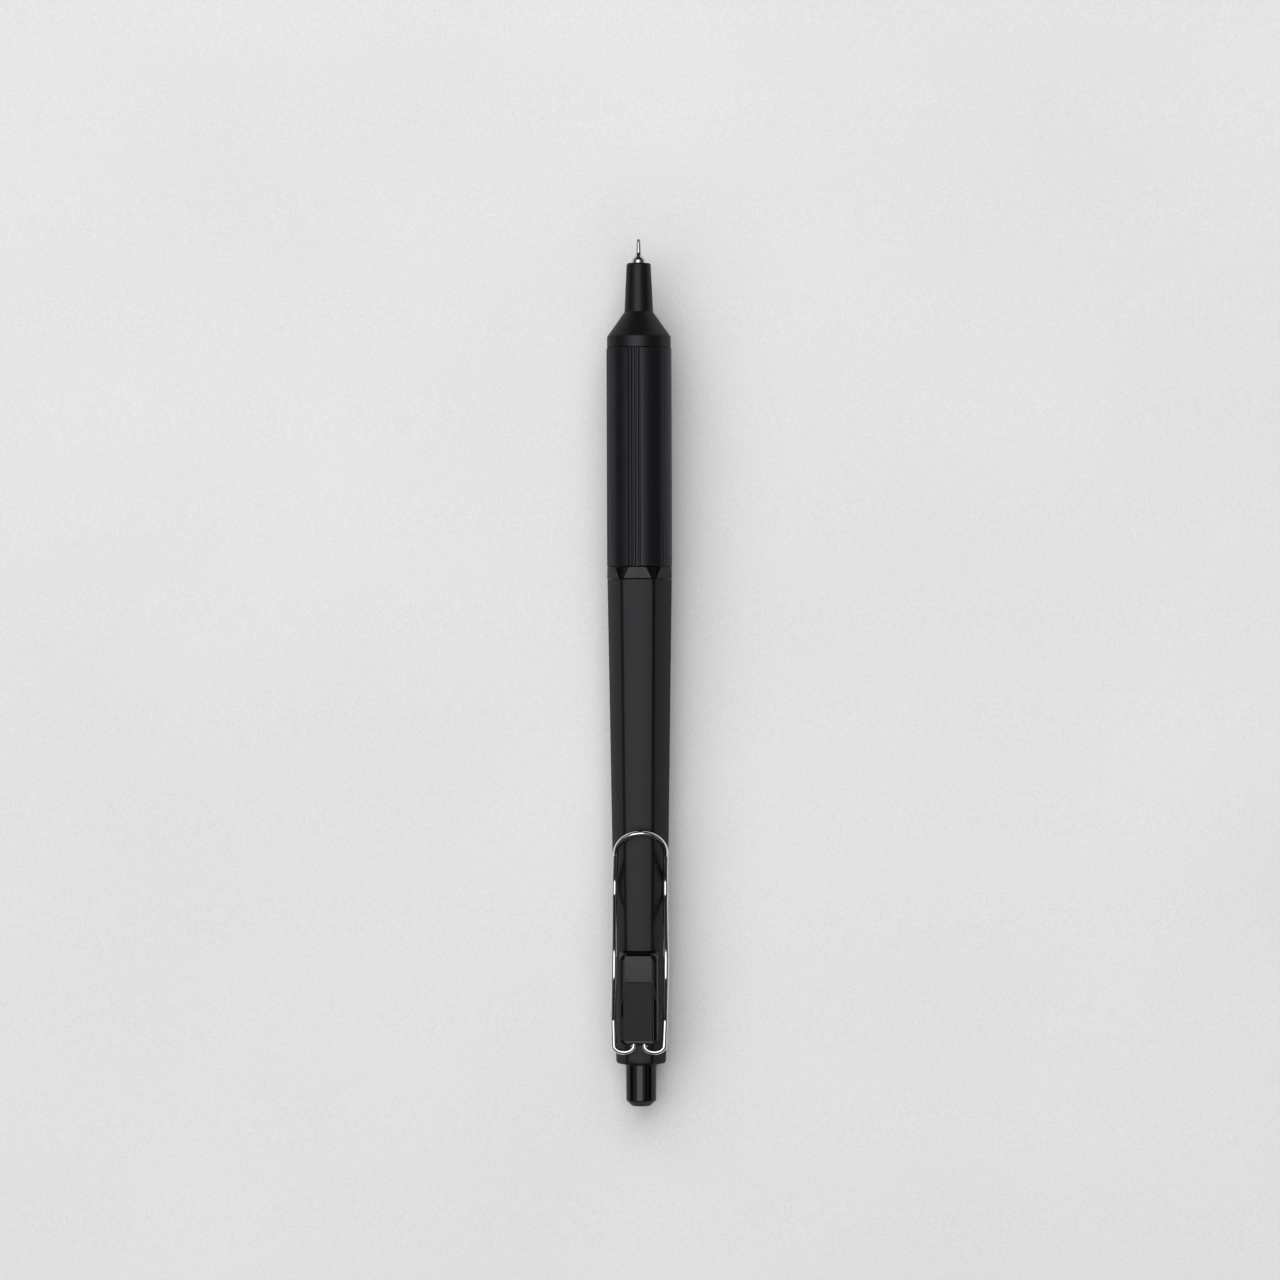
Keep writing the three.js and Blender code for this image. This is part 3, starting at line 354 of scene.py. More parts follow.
# %% Skins through rings
def placed(name, data):
    """An object of some data, linked into the scene."""
    made = bpy.data.objects.new(name, data)
    bpy.context.scene.collection.objects.link(made)
    return made


def turn_outwards(mesh, weld=False):
    """Turns a closed mesh's faces outwards, after joining points that lie on each other."""
    form = bmesh.new()
    form.from_mesh(mesh)
    if weld:
        bmesh.ops.remove_doubles(form, verts=form.verts, dist=1e-9)
    bmesh.ops.recalc_face_normals(form, faces=form.faces)
    form.to_mesh(mesh)
    form.free()


def solid(name, rings, closes, finish, body, crease=32):
    """A finished piece from rings of points."""
    mesh = skin(name, rings, closes, weld=True)
    return settled(name, mesh, finish, body, crease)


def settled(name, mesh, finish, body, crease):
    """The piece of a ready mesh: smooth but for sharp creases, coated, riding on its body."""
    mesh.shade_smooth()
    mesh.set_sharp_from_angle(angle=math.radians(crease))
    mesh.materials.clear()
    mesh.materials.append(finish.material)
    piece = placed(name, mesh)
    even = piece.modifiers.new("large faces shade flat", "WEIGHTED_NORMAL")
    even.weight = 100
    even.keep_sharp = True
    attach(piece, body)
    mesh.calc_loop_triangles()
    print(f"{name}: {len(mesh.loop_triangles)} triangles on {body}")
    return piece


def skin(name, rings, closes, weld):
    """The mesh of a skin through rings; one that doesn't close gets a fan at each end."""
    count = len(rings[0])
    points = [point for ring in rings for point in ring]
    faces = []
    for k in range(len(rings) if closes else len(rings) - 1):
        here, after = k * count, (k + 1) % len(rings) * count
        for i in range(count):
            j = (i + 1) % count
            faces.append((here + i, here + j, after + j, after + i))
    if not closes:
        for first in (0, (len(rings) - 1) * count):
            centre = sum((points[first + i] for i in range(count)), Vector()) / count
            points.append(centre)
            fan = len(points) - 1
            faces += [(first + i, first + (i + 1) % count, fan) for i in range(count)]
    mesh = bpy.data.meshes.new(name)
    mesh.from_pydata(points, [], faces)
    turn_outwards(mesh, weld)
    return mesh


# %% [markdown]
# A turned piece is a profile spun round the axis. Real turned edges are never knife sharp:
# each corner of the profile may carry a small rounding, which is what catches the light.

# %% Profiles and turning
ROUND_STEPS = 5


def short_curve(corner, back, on, reach, steps):
    """Takes a corner's place, from a reach before it to a reach behind it."""
    start, end = corner + back.normalized() * reach, corner + on.normalized() * reach
    shares = [k / steps for k in range(steps + 1)]
    return [start * (1 - t) ** 2 + corner * (2 * t * (1 - t)) + end * t * t for t in shares]


def rounded(corners):
    """Corners are (radius, station, rounding); a rounding becomes a short curve."""
    profile = []
    count = len(corners)
    for i, (radius, station, rounding) in enumerate(corners):
        corner = Vector((radius, station))
        if not rounding:
            profile.append(corner)
            continue
        back = Vector(corners[i - 1][:2]) - corner
        on = Vector(corners[(i + 1) % count][:2]) - corner
        profile += short_curve(corner, back, on, rounding, ROUND_STEPS)
    return profile


def turned(name, corners, finish, body, segments=128, crease=32):
    """Spins a profile. One that starts and ends on the axis gets poles there."""
    profile = rounded(corners)
    angles = [360 * i / segments for i in range(segments)]
    rings = [[at(point.x, angle, point.y) for angle in angles] for point in profile if point.x > 0]
    return solid(name, rings, profile[0].x > 0, finish, body, crease)


# %% [markdown]
# ## The nose
# The nose is turned from one bar: a slim neck that widens slightly, a steep cone and a short
# band as wide as the grip. Behind it hides the threaded spigot, and inside it the room for
# the spring. The profile is the model's, with the small roundings that a cutter leaves.

# %% Nose cone
nose_front, nose_rear = ends("nose_cone")
NECK_FRONT, NECK_REAR = 2.0, 2.38
NECK_LENGTH, CONE_LENGTH = 8.12, 4.12
NECK_EDGE = 0.39
BAND, BAND_GAP = 5.29, 0.05  # its radius, and the line between it and the grip
SPIGOT = 4.0
NOSE_BORE, NOSE_BORE_CHAMFER = 1.23, 0.15
SPRING_ROOM, SPRING_SEAT_DEPTH = 2.35, 1.45
REFILL_ROOM, REFILL_ROOM_FRONT = 3.11, 20.46
cone_start = nose_front + NECK_LENGTH
band_start = cone_start + CONE_LENGTH
band_end = grip_front - BAND_GAP
spring_seat = cone_start + SPRING_SEAT_DEPTH

nose = turned(
    "turned_nose",
    [
        (NOSE_BORE + NOSE_BORE_CHAMFER, nose_front, 0.04),
        (NECK_FRONT, nose_front, NECK_EDGE),
        (NECK_REAR, cone_start, 0),
        (BAND, band_start, 0.10),
        (BAND, band_end, 0.05),
        (SPIGOT, band_end, 0),
        (SPIGOT, nose_rear, 0),
        (REFILL_ROOM, nose_rear, 0),
        (REFILL_ROOM, REFILL_ROOM_FRONT, 0),
        (SPRING_ROOM, REFILL_ROOM_FRONT, 0),
        (SPRING_ROOM, spring_seat, 0),
        (NOSE_BORE, spring_seat, 0),
        (NOSE_BORE, nose_front + NOSE_BORE_CHAMFER, 0),
    ],
    nose_coat,
    "casing",
    crease=24,
)
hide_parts("nose_cone")

# %% [markdown]
# ## The writing tip
# A needle of bright metal holds a tiny ball. It swells in a soft S to a shank as thick as the
# hole in the nose: the curve leaves the needle slowly and runs into the shank as slowly.

# %% Needle and ball
BALL, BALL_GAP = 0.14, 0.015
NEEDLE_RIM, NEEDLE_MIDDLE, NEEDLE_REAR = 0.27, 0.36, 0.43
SHANK = 1.15
NEEDLE_END, SHANK_START, SHANK_END = 2.3, 3.62, 9.24
NEEDLE_FACE, NEEDLE_SHOULDER = 0.112, 0.85  # stations of its front and its first taper's end
FLARE_STEPS = 14
SOCKET, SOCKET_END = BALL + BALL_GAP, 0.252
FEED, FEED_FRONT, FEED_REAR = 0.084, 0.336, 0.616
INK_BORE, INK_BORE_FRONT = 0.17, 0.756
TAIL, TAIL_LENGTH = 0.8, 2.3  # the thin end that goes into the holder

flare = []
for step in range(1, FLARE_STEPS):
    share = step / FLARE_STEPS
    radius = NEEDLE_REAR + (SHANK - NEEDLE_REAR) * share**2 * (3 - 2 * share)
    flare.append((radius, NEEDLE_END + (SHANK_START - NEEDLE_END) * share, 0))
tip_corners = [
    (SOCKET, NEEDLE_FACE, 0),
    (NEEDLE_RIM, NEEDLE_FACE, 0.08),
    (NEEDLE_MIDDLE, NEEDLE_SHOULDER, 0),
    (NEEDLE_REAR, NEEDLE_END, 0),
    *flare,
    (SHANK, SHANK_START, 0),
    (SHANK, SHANK_END, 0.05),
    (TAIL, SHANK_END, 0),
    (TAIL, SHANK_END + TAIL_LENGTH, 0),
    (INK_BORE, SHANK_END + TAIL_LENGTH, 0),
    (INK_BORE, INK_BORE_FRONT, 0),
    (FEED, FEED_REAR, 0),
    (FEED, FEED_FRONT, 0),
    (SOCKET, SOCKET_END, 0),
]
tip = turned("needle_tip", tip_corners, tip_metal, "refill", segments=64)
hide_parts("writing_tip")

BALL_RINGS = 24
ball_corners = [(0.0, 0.0, 0)]
for ring in range(1, BALL_RINGS):
    angle = math.pi * ring / BALL_RINGS
    ball_corners.append((BALL * math.sin(angle), BALL * (1 - math.cos(angle)), 0))
ball_corners.append((0.0, 2 * BALL, 0))
ball = turned("tip_ball", ball_corners, ball_metal, "refill", segments=48)
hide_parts("writing_ball")

# %% [markdown]
# ## The fluted grip
# Six groups of four fine grooves run along the whole grip, as a slotting cutter leaves them.
# The grooves could be cut with 24 bars and a Boolean, but a rule is simpler and gives better
# edges: spin the wall's profile into a tube, and hold every point of it below a limit that
# dips at each groove. Geometry Nodes apply such a rule to all points at once, and its named
# inputs are easy to change.

# %% A geometry tree with named inputs
def shape_tree(name, inputs):
    """A graph for a modifier, and the signals of its inputs, which are given by their kind."""
    tree = bpy.data.node_groups.new(name, "GeometryNodeTree")
    tree.is_modifier = True
    graph = Graph(tree)
    graph.sockets = {}
    for kind, titles in {"Geometry": ("Geometry",), **inputs}.items():
        kind = "NodeSocket" + kind
        for title in titles:
            socket = tree.interface.new_socket(title, in_out="INPUT", socket_type=kind)
            graph.sockets[title] = socket
    tree.interface.new_socket("Geometry", in_out="OUTPUT", socket_type="NodeSocketGeometry")
    group = tree.nodes.new("NodeGroupInput")
    return graph, {title: Signal(graph, group.outputs[title]) for title in graph.sockets}


def end_tree(graph, geometry, finish):
    """Ends a tree in plain geometry with its finish on it."""
    plain = graph.shape("RealizeInstances", Geometry=geometry)
    coated = graph.shape("SetMaterial", Geometry=plain, Material=finish)
    graph.tree.links.new(coated.socket, graph.tree.nodes.new("NodeGroupOutput").inputs[0])


def grown(base_name, points, edges, graph, values):
    """The plain mesh that a tree makes of some points and edges."""
    mesh = bpy.data.meshes.new(base_name)
    mesh.from_pydata(points, edges, [])
    seed = placed(base_name, mesh)
    modifier = seed.modifiers.new(base_name, "NODES")
    modifier.node_group = graph.tree
    for title, value in values.items():
        modifier[graph.sockets[title].identifier] = value
    ready = seed.evaluated_get(bpy.context.evaluated_depsgraph_get())
    made = bpy.data.meshes.new_from_object(ready)
    bpy.data.objects.remove(seed)
    bpy.data.meshes.remove(mesh)
    return made


# %% [markdown]
# The tree sweeps the wall's profile round a circle, which makes the faces. Then it sets every
# point by its own column and profile point, because a sweep alone doesn't say how it turns
# the profile. The way to the nearest groove's middle says how far the limit dips there.

# %% The rule for the flutes
GROOVE_MEASURES = "Pitch", "First group", "Half mouth", "Half floor", "Depth"
FLUTE_INPUTS = {
    "Int": ("Columns", "Groups", "Grooves in a group"),
    "Float": (*GROOVE_MEASURES, "Outer radius", "Axis height"),
    "Material": ("Finish",),
}
flutes, given = shape_tree("fluted sleeve", FLUTE_INPUTS)


def captured(graph, geometry, kind, value):
    """Keeps a value of each point on the geometry, so that it outlives a change of shape."""
    node = graph.tree.nodes.new("GeometryNodeCaptureAttribute")
    node.capture_items.new(kind, "kept")
    graph.feed(node.inputs["Geometry"], geometry)
    graph.feed(node.inputs["kept"], value)
    return Signal(graph, node.outputs["Geometry"]), Signal(graph, node.outputs["kept"])


wall = flutes.shape("MeshToCurve", Mesh=given["Geometry"])
wall, spot = captured(flutes, wall, "VECTOR", flutes.shape("InputPosition"))
turn = flutes.shape("CurvePrimitiveCircle", Resolution=given["Columns"])
turn, column = captured(flutes, turn, "FLOAT", flutes.shape("InputIndex"))
tube = flutes.shape("CurveToMesh", **{"Curve": turn, "Profile Curve": wall})

degrees = column * 360 / given["Columns"]
group_step = 360 / given["Groups"]
from_first = degrees - given["First group"]
from_middle = flutes.calc("WRAP", from_first, group_step / 2, group_step * -0.5)
last = given["Grooves in a group"] - 1
nearest = flutes.calc("ROUND", from_middle / given["Pitch"] + last / 2)
nearest = flutes.node("ShaderNodeClamp", None, {"Value": nearest, "Min": 0.0, "Max": last})
off_groove = flutes.calc("ABSOLUTE", from_middle - (nearest - last / 2) * given["Pitch"])
dip = flutes.node(
    "ShaderNodeMapRange",
    {"interpolation_type": "SMOOTHSTEP"},
    {"Value": off_groove, "From Min": given["Half mouth"], "From Max": given["Half floor"]},
)
limit = given["Outer radius"] - dip * given["Depth"]

spot_parts = flutes.node("ShaderNodeSeparateXYZ", None, {"Vector": spot})
along = Signal(flutes, spot_parts.socket.node.outputs["Y"])
radius = flutes.calc("MINIMUM", spot_parts, limit)
radians = degrees * (math.pi / 180)
across = radius * flutes.calc("SINE", radians)
up = radius * flutes.calc("COSINE", radians) + given["Axis height"]
place = flutes.node("ShaderNodeCombineXYZ", None, {"X": across, "Y": along, "Z": up})
tube = flutes.shape("SetPosition", Geometry=tube, Position=place)
end_tree(flutes, tube, given["Finish"])
print("flute tree:", len(flutes.tree.nodes), "nodes")

# %% [markdown]
# Now the real measures go into the inputs. The columns lie so close that each slope of a
# groove gets about five of them. The bore is wider at both ends, for spigot and coupler.

# %% Grow the grip
GRIP = 5.399
GRIP_EDGE = 0.15
GROOVE_GROUPS, GROOVES_IN_GROUP = 6, 4
GROOVE_PITCH, GROOVE_MOUTH, GROOVE_FLOOR = 0.59, 0.42, 0.12
GROOVE_DEPTH = 0.27
GROUP_TURN = -5.2  # degrees from the top to the middle of the first group
GRIP_BORE, SPIGOT_BORE = 3.3, 4.05
NOSE_SEAT_GAP, COUPLER_DEPTH = 0.05, 8.45
GRIP_COLUMNS = 1080
DEGREES_PER_MM = 180 / (math.pi * GRIP)

front_step, rear_step = nose_rear + NOSE_SEAT_GAP, grip_rear - COUPLER_DEPTH
wall_corners = [
    (GRIP, grip_front, GRIP_EDGE),
    (GRIP, grip_rear, GRIP_EDGE),
    (SPIGOT_BORE, grip_rear, 0.05),
    (SPIGOT_BORE, rear_step, 0),
    (GRIP_BORE, rear_step, 0),
    (GRIP_BORE, front_step, 0),
    (SPIGOT_BORE, front_step, 0),
    (SPIGOT_BORE, grip_front, 0.05),
]
wall_points = [(point.x * MM, (TIP_Y - point.y) * MM, 0) for point in rounded(wall_corners)]
wall_edges = [(i, (i + 1) % len(wall_points)) for i in range(len(wall_points))]
grip_mesh = grown(
    "grip wall",
    wall_points,
    wall_edges,
    flutes,
    {
        "Columns": GRIP_COLUMNS,
        "Groups": GROOVE_GROUPS,
        "Grooves in a group": GROOVES_IN_GROUP,
        "Pitch": GROOVE_PITCH * DEGREES_PER_MM,
        "First group": GROUP_TURN,
        "Half mouth": GROOVE_MOUTH / 2 * DEGREES_PER_MM,
        "Half floor": GROOVE_FLOOR / 2 * DEGREES_PER_MM,
        "Depth": GROOVE_DEPTH * MM,
        "Outer radius": GRIP * MM,
        "Axis height": AXIS_HEIGHT * MM,
        "Finish": grip_coat.material,
    },
)
turn_outwards(grip_mesh)
grip = settled("fluted_grip", grip_mesh, grip_coat, "casing", crease=50)
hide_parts("grip_sleeve")

# %% [markdown]
# ## The ring
# The ring leads from round to six-sided: its front edge is a circle, and six slanted flats
# cut deeper into it towards the rear. Polishing left the flats a hair crowned, which shows on
# gloss as a soft change of tone. Every ring of points follows that rule, with points exactly
# on the line where flat meets round.

# %% Joint ring
RING = 5.39
RING_FRONT_FLAT, RING_REAR_FLAT = 5.245, 4.88
RING_CROWN = 0.1
RING_EDGE = 0.1
EDGE_SHARE = 0.3  # where the middle row of a broken edge lies, as a share of the edge
SIDES, SIDE_TURN = 6, 60
RING_LEVELS = 12
RING_FLAT_SHARES = (-1, -0.97, -0.6, -0.2, 0.2, 0.6, 0.97)
RING_ROUND_SHARES = (0.0, 0.02, 0.2, 0.35, 0.5, 0.65, 0.8, 0.98)


def ring_spots(station):
    """Angles and radii round the ring's outside at a station."""
    share = (station - ring_front) / (ring_rear - ring_front)
    flat = RING_FRONT_FLAT + (RING_REAR_FLAT - RING_FRONT_FLAT) * share
    reach = math.degrees(math.acos(flat / RING))
    spots = []
    for side in range(SIDES):
        middle = side * SIDE_TURN
        for along_flat in RING_FLAT_SHARES:
            angle = reach * along_flat
            crown = RING_CROWN * (1 - along_flat**2)
            spots.append((middle + angle, flat / math.cos(math.radians(angle)) + crown))
        for along_round in RING_ROUND_SHARES:
            spots.append((middle + reach + (SIDE_TURN - 2 * reach) * along_round, RING))
    return spots


def ring_row(station, inset):
    """One row of the outside, a little inside its full size at the edges."""
    return [at(radius - inset, angle, station) for angle, radius in ring_spots(station)]


broken_edge = ((RING_EDGE, 0), (RING_EDGE * EDGE_SHARE, RING_EDGE * EDGE_SHARE), (0, RING_EDGE))
ring_rows = [ring_row(ring_front + step_in, inset) for inset, step_in in broken_edge]
for level in range(1, RING_LEVELS):
    ring_rows.append(ring_row(ring_front + (ring_rear - ring_front) * level / RING_LEVELS, 0))
ring_rows += [ring_row(ring_rear - step_in, inset) for inset, step_in in reversed(broken_edge)]
for station in (ring_rear, ring_front):
    ring_rows.append([at(SPIGOT_BORE, angle, station) for angle, _ in ring_spots(station)])
collar = solid("collar_ring", ring_rows, True, ring_coat, "casing", crease=8)
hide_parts("joint_ring")

# %% [markdown]
# ## The barrel
# A tube with six sides that draws in towards the rear, while its corners keep one width. Each
# corner lies halfway between a round one and a plain chamfer, which makes it one crisp dark
# line in the light from above. A drawn tube's sides are never quite flat: a slight swell gives
# the slanting ones a soft gradient from dark at the top corner to light at the outside.

# %% Six-sided sections
HALF_SIDE = math.radians(SIDE_TURN / 2)
CORNER_STEPS = 10
FLAT_SHARES = (0.03, 0.13, 0.25, 0.375, 0.5, 0.625, 0.75, 0.87, 0.97)
SWELL = 0.15  # of the middle of a side over its edges
SIDE_OUT = 0.05  # how far a side's edges lie out of the model's flat
CHAMFER = 0.5  # a corner's way from an arc, 0, to a plain chamfer, 1


def corner_half_angle(flat, corner):
    """Half the angle, seen from the axis, that a rounded corner takes."""
    return math.degrees(HALF_SIDE - math.atan2((flat - corner) * math.tan(HALF_SIDE), flat))


def hex_radius(flat, corner, degrees_round):
    """The outside's radius at an angle."""
    from_corner = degrees_round % SIDE_TURN - SIDE_TURN / 2
    turn_off = math.radians(from_corner)
    if abs(from_corner) < corner_half_angle(flat, corner) - 1e-9:
        centre = (flat - corner) / math.cos(HALF_SIDE)
        sideways = centre * math.sin(turn_off)
        arc = centre * math.cos(turn_off) + math.sqrt(corner**2 - sideways**2)
        chord = (centre + corner * math.cos(HALF_SIDE)) / math.cos(turn_off)
        return arc + (chord - arc) * CHAMFER + SIDE_OUT
    off_middle = HALF_SIDE - abs(turn_off)
    half_flat = (flat - corner) * math.tan(HALF_SIDE)
    share = flat * math.tan(off_middle) / half_flat
    return flat / math.cos(off_middle) + SIDE_OUT + SWELL * (1 - share**2)


def hex_angles(flat, corner):
    """Angles of a row's points, closer together round the corners."""
    half = corner_half_angle(flat, corner)
    angles = []
    for side in range(SIDES):
        middle = (side + 0.5) * SIDE_TURN
        angles += [middle + half * (2 * i / CORNER_STEPS - 1) for i in range(CORNER_STEPS + 1)]
        angles += [middle + half + (SIDE_TURN - 2 * half) * share for share in FLAT_SHARES]
    return angles


def hex_row(flat, corner, station):
    angles = hex_angles(flat, corner)
    return [at(hex_radius(flat, corner, angle), angle, station) for angle in angles]


# %% [markdown]
# The shell is one skin. It runs back along the sides, turns in round the rear edge, where the
# corners open out, and comes back through the button's hole and the bore. A bevel modifier
# could round the edge, but it would not open the corners with it.

# %% Barrel shell
BARREL_FRONT_FLAT, BARREL_REAR_FLAT = 4.71, 3.65
CORNER, END_CORNER = 0.62, 1.45
BARREL_EDGE = 0.06
STRAIGHT_ROWS = (0.5, 40)  # stations of rows behind the front edge
LAST_STRAIGHT = 0.3  # the last straight row's way ahead of the rounded end
END_ROUND, END_CONE, END_INSET = 0.65, 0.25, 0.125
END_WALL = 1.25
BARREL_BORE = 3.1
BUTTON_HOLE, HOLE_CHAMFER = 2.59, 0.04
COUPLER_ROOM = 7.65
END_STEPS = 8


def barrel_flat(station):
    share = (station - barrel_front) / (barrel_rear - barrel_front)
    return BARREL_FRONT_FLAT + (BARREL_REAR_FLAT - BARREL_FRONT_FLAT) * share


round_end = barrel_rear - END_CONE
round_start = round_end - END_ROUND
half_edge = BARREL_EDGE * EDGE_SHARE
shell_rows = [
    hex_row(barrel_flat(barrel_front) - BARREL_EDGE, CORNER, barrel_front),
    hex_row(barrel_flat(barrel_front) - half_edge, CORNER, barrel_front + half_edge),
]
straight = [barrel_front + behind for behind in (BARREL_EDGE, *STRAIGHT_ROWS)]
for station in (*straight, round_start - LAST_STRAIGHT):
    shell_rows.append(hex_row(barrel_flat(station), CORNER, station))
for step in range(END_STEPS + 1):
    share = math.sin(math.pi / 2 * step / END_STEPS)
    drawn_in = 1 - math.cos(math.pi / 2 * step / END_STEPS)
    corner = CORNER + (END_CORNER - CORNER) * drawn_in
    station = round_start + END_ROUND * share
    shell_rows.append(hex_row(barrel_flat(station) - END_INSET * drawn_in, corner, station))
bore_angles = hex_angles(BARREL_REAR_FLAT, CORNER)
coupler_end = barrel_front + COUPLER_ROOM
for radius_here, station in (
    (BUTTON_HOLE + HOLE_CHAMFER, barrel_rear),
    (BUTTON_HOLE, barrel_rear - HOLE_CHAMFER),
    (BUTTON_HOLE, barrel_rear - END_WALL),
    (BARREL_BORE, barrel_rear - END_WALL),
    (BARREL_BORE, coupler_end),
    (SPIGOT_BORE, coupler_end),
    (SPIGOT_BORE, barrel_front),
):
    shell_rows.append([at(radius_here, angle, station) for angle in bore_angles])
shell = solid("six_sided_barrel", shell_rows, True, body_coat, "casing", 22)
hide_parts("barrel")

# %% [markdown]
# ## The clip block
# The block sits on the top flat like a saddle and reaches down over the two flats beside it.
# It is one small moulding, so the way to shape it is the moulder's: start from a block with
# its corners rounded in plan, and cut away the barrel's room and the two holes for the wire.

# %% Outlines in plan
PLAN_STEPS = 10


def plan_outline(front, rear, half_width, front_corner, rear_corner):
    """A rectangle with rounded corners, seen from above, as (x, station)."""
    corners = (
        (half_width - front_corner, front + front_corner, front_corner),
        (front_corner - half_width, front + front_corner, front_corner),
        (rear_corner - half_width, rear - rear_corner, rear_corner),
        (half_width - rear_corner, rear - rear_corner, rear_corner),
    )
    outline = []
    for quarter, (x, station, corner) in enumerate(corners):
        for i in range(PLAN_STEPS + 1):
            angle = math.pi / 2 * (quarter + i / PLAN_STEPS)
            outline.append((x + corner * math.cos(angle), station - corner * math.sin(angle)))
    return outline


def edge_steps(edge, steps=5):
    """A rounded top edge as (inset, drop) pairs, from its outside to its top."""
    for i in range(steps + 1):
        angle = math.pi / 2 * i / steps
        yield edge * (1 - math.cos(angle)), edge * (1 - math.sin(angle))


def blank(name, rings):
    """A bare block to cut, or to cut with."""
    return placed(name, skin(name, rings, closes=False, weld=False))


def carved(base, cutters):
    """The mesh of a blank after its cuts."""
    for cutter in cutters:
        cut = base.modifiers.new(cutter.name, "BOOLEAN")
        cut.operation, cut.solver, cut.object = "DIFFERENCE", "EXACT", cutter
    ready = base.evaluated_get(bpy.context.evaluated_depsgraph_get())
    mesh = bpy.data.meshes.new_from_object(ready)
    for used in (base, *cutters):
        bpy.data.objects.remove(used)
    return mesh


# %% [markdown]
# A narrow rim runs round the block and slopes a little, and a shoulder climbs from it to the
# ledge for the plates: each is one more outline in the stack. The holes are oval, so that the
# clip can rock in them.

# %% Clip block
BLOCK_HALF_WIDTH = 3.26
BLOCK_SKIRT, BLOCK_WALL, BLOCK_RIM, BLOCK_TOP = 2.55, 3.6, 5.2, 5.62
BLOCK_FRONT_CORNER, BLOCK_REAR_CORNER = 1.0, 1.4
SMALLEST_FRONT, SMALLEST_REAR = 0.4, 0.6  # of those corners, in the inner rows
BLOCK_LEAN = 0.28
BLOCK_FORWARD = 0.4  # how far its front lies ahead of the model's
BLOCK_EDGE = 0.05
RIM_WIDTH, RIM_FALL, SHOULDER, REAR_SHOULDER = 0.3, 0.05, 0.5, 0.42
BARREL_GAP = 0.05
WIRE_LEVEL = 4.55
WIRE_HOLE, HOLE_HEIGHT = 0.57, 0.78  # half the width and height of an oval hole
WIRE_END_SPREAD, WIRE_END_DEPTH, WIRE_END_GAP = 0.9, 2.6, 0.12
PAST_FRONT, PAST_REAR = 1, 2  # how far the cutters reach out of the block

lean_start = barrel_flat(block_front)


def lean_at(height):
    return BLOCK_LEAN * (height - lean_start)


front_at_foot = block_front - BLOCK_FORWARD - lean_at(BLOCK_SKIRT)


def block_row(inset, rear_inset, height):
    """One outline of the block, drawn in at its front and sides and at its rear."""
    outline = plan_outline(
        front_at_foot + lean_at(height) + inset,
        block_rear - rear_inset,
        BLOCK_HALF_WIDTH - inset,
        max(BLOCK_FRONT_CORNER - inset, SMALLEST_FRONT),
        max(BLOCK_REAR_CORNER - inset, SMALLEST_REAR),
    )
    return [above(x, station, height) for x, station in outline]


block_rows = [block_row(0, 0, height) for height in (BLOCK_SKIRT, BLOCK_WALL)]
for inset, drop in edge_steps(BLOCK_EDGE):
    block_rows.append(block_row(inset, inset, BLOCK_RIM - drop))
block_rows.append(block_row(RIM_WIDTH, BLOCK_EDGE, BLOCK_RIM - RIM_FALL))
block_rows.append(block_row(RIM_WIDTH + SHOULDER, REAR_SHOULDER, BLOCK_TOP))

barrel_room_rows = []
for station in (block_front - PAST_FRONT, barrel_rear):
    barrel_room_rows.append(hex_row(barrel_flat(station) + BARREL_GAP, CORNER, station))
cutters = [blank("barrel room", barrel_room_rows)]
oval = [math.radians(degrees_round) for degrees_round in range(0, 360, 10)]
for side in (-WIRE_END_SPREAD, WIRE_END_SPREAD):
    hole_rows = []
    for station in (block_rear - WIRE_END_DEPTH - WIRE_END_GAP, block_rear + PAST_REAR):
        hole_row = []
        for turn_at in oval:
            height = WIRE_LEVEL + HOLE_HEIGHT * math.sin(turn_at)
            hole_row.append(above(side + WIRE_HOLE * math.cos(turn_at), station, height))
        hole_rows.append(hole_row)
    cutters.append(blank("wire hole", hole_rows))
block_mesh = carved(blank("block", block_rows), cutters)
block = settled("clip_block", block_mesh, ring_coat, "casing", crease=30)
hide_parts("clip_holder")

# %% [markdown]
# Two plates lie on the block's ledge, with a dark seam between them. The front one slopes down
# to the rear one and is glossier; both have a broken edge all round that shows as a thin line.
# They are stacks of outlines too, so that the edge follows the rounded corners in plan.

# %% Front and rear plates
PLATE_HALF_WIDTH, PLATE_FLARE, PLATE_EDGE = 2.34, 0.04, 0.1
SEAM, SEAM_FORWARD = 0.2, 0.54  # its width, and how far it lies ahead of the model's
PAD_TOP_FRONT, PLATE_TOP = 6.5, 6.0
PAD_CORNER, PLATE_CORNER = 0.6, 0.12
PAD_FORWARD, COVER_SHORT = 0.18, 0.33  # against the model's front and rear ends
PLATE_GAP = 0.02
PLATE_FOOT = BLOCK_TOP + PLATE_GAP
pad_front, pad_rear = ends("holder_front_pad")
cover_front, cover_rear = ends("holder_rear_cover")
seam = (pad_rear + cover_front) / 2 - SEAM_FORWARD


def plate_rows(front, rear, top, front_corner, lean):
    """Rows from a plate's wide foot to its top, whose height may slope."""
    corners = front_corner, PLATE_CORNER
    wide = plan_outline(front, rear, PLATE_HALF_WIDTH + PLATE_FLARE, *corners)
    rows = [[above(x, station, PLATE_FOOT) for x, station in wide]]
    for inset, drop in edge_steps(PLATE_EDGE):
        start = front + lean * (top(front) - drop - PLATE_FOOT) + inset
        outline = plan_outline(start, rear - inset / 2, PLATE_HALF_WIDTH - inset, *corners)
        rows.append([above(x, station, top(station) - drop) for x, station in outline])
    return rows


def pad_top(station):
    share = (station - pad_front) / (pad_rear - pad_front)
    return PAD_TOP_FRONT + (PLATE_TOP - PAD_TOP_FRONT) * share


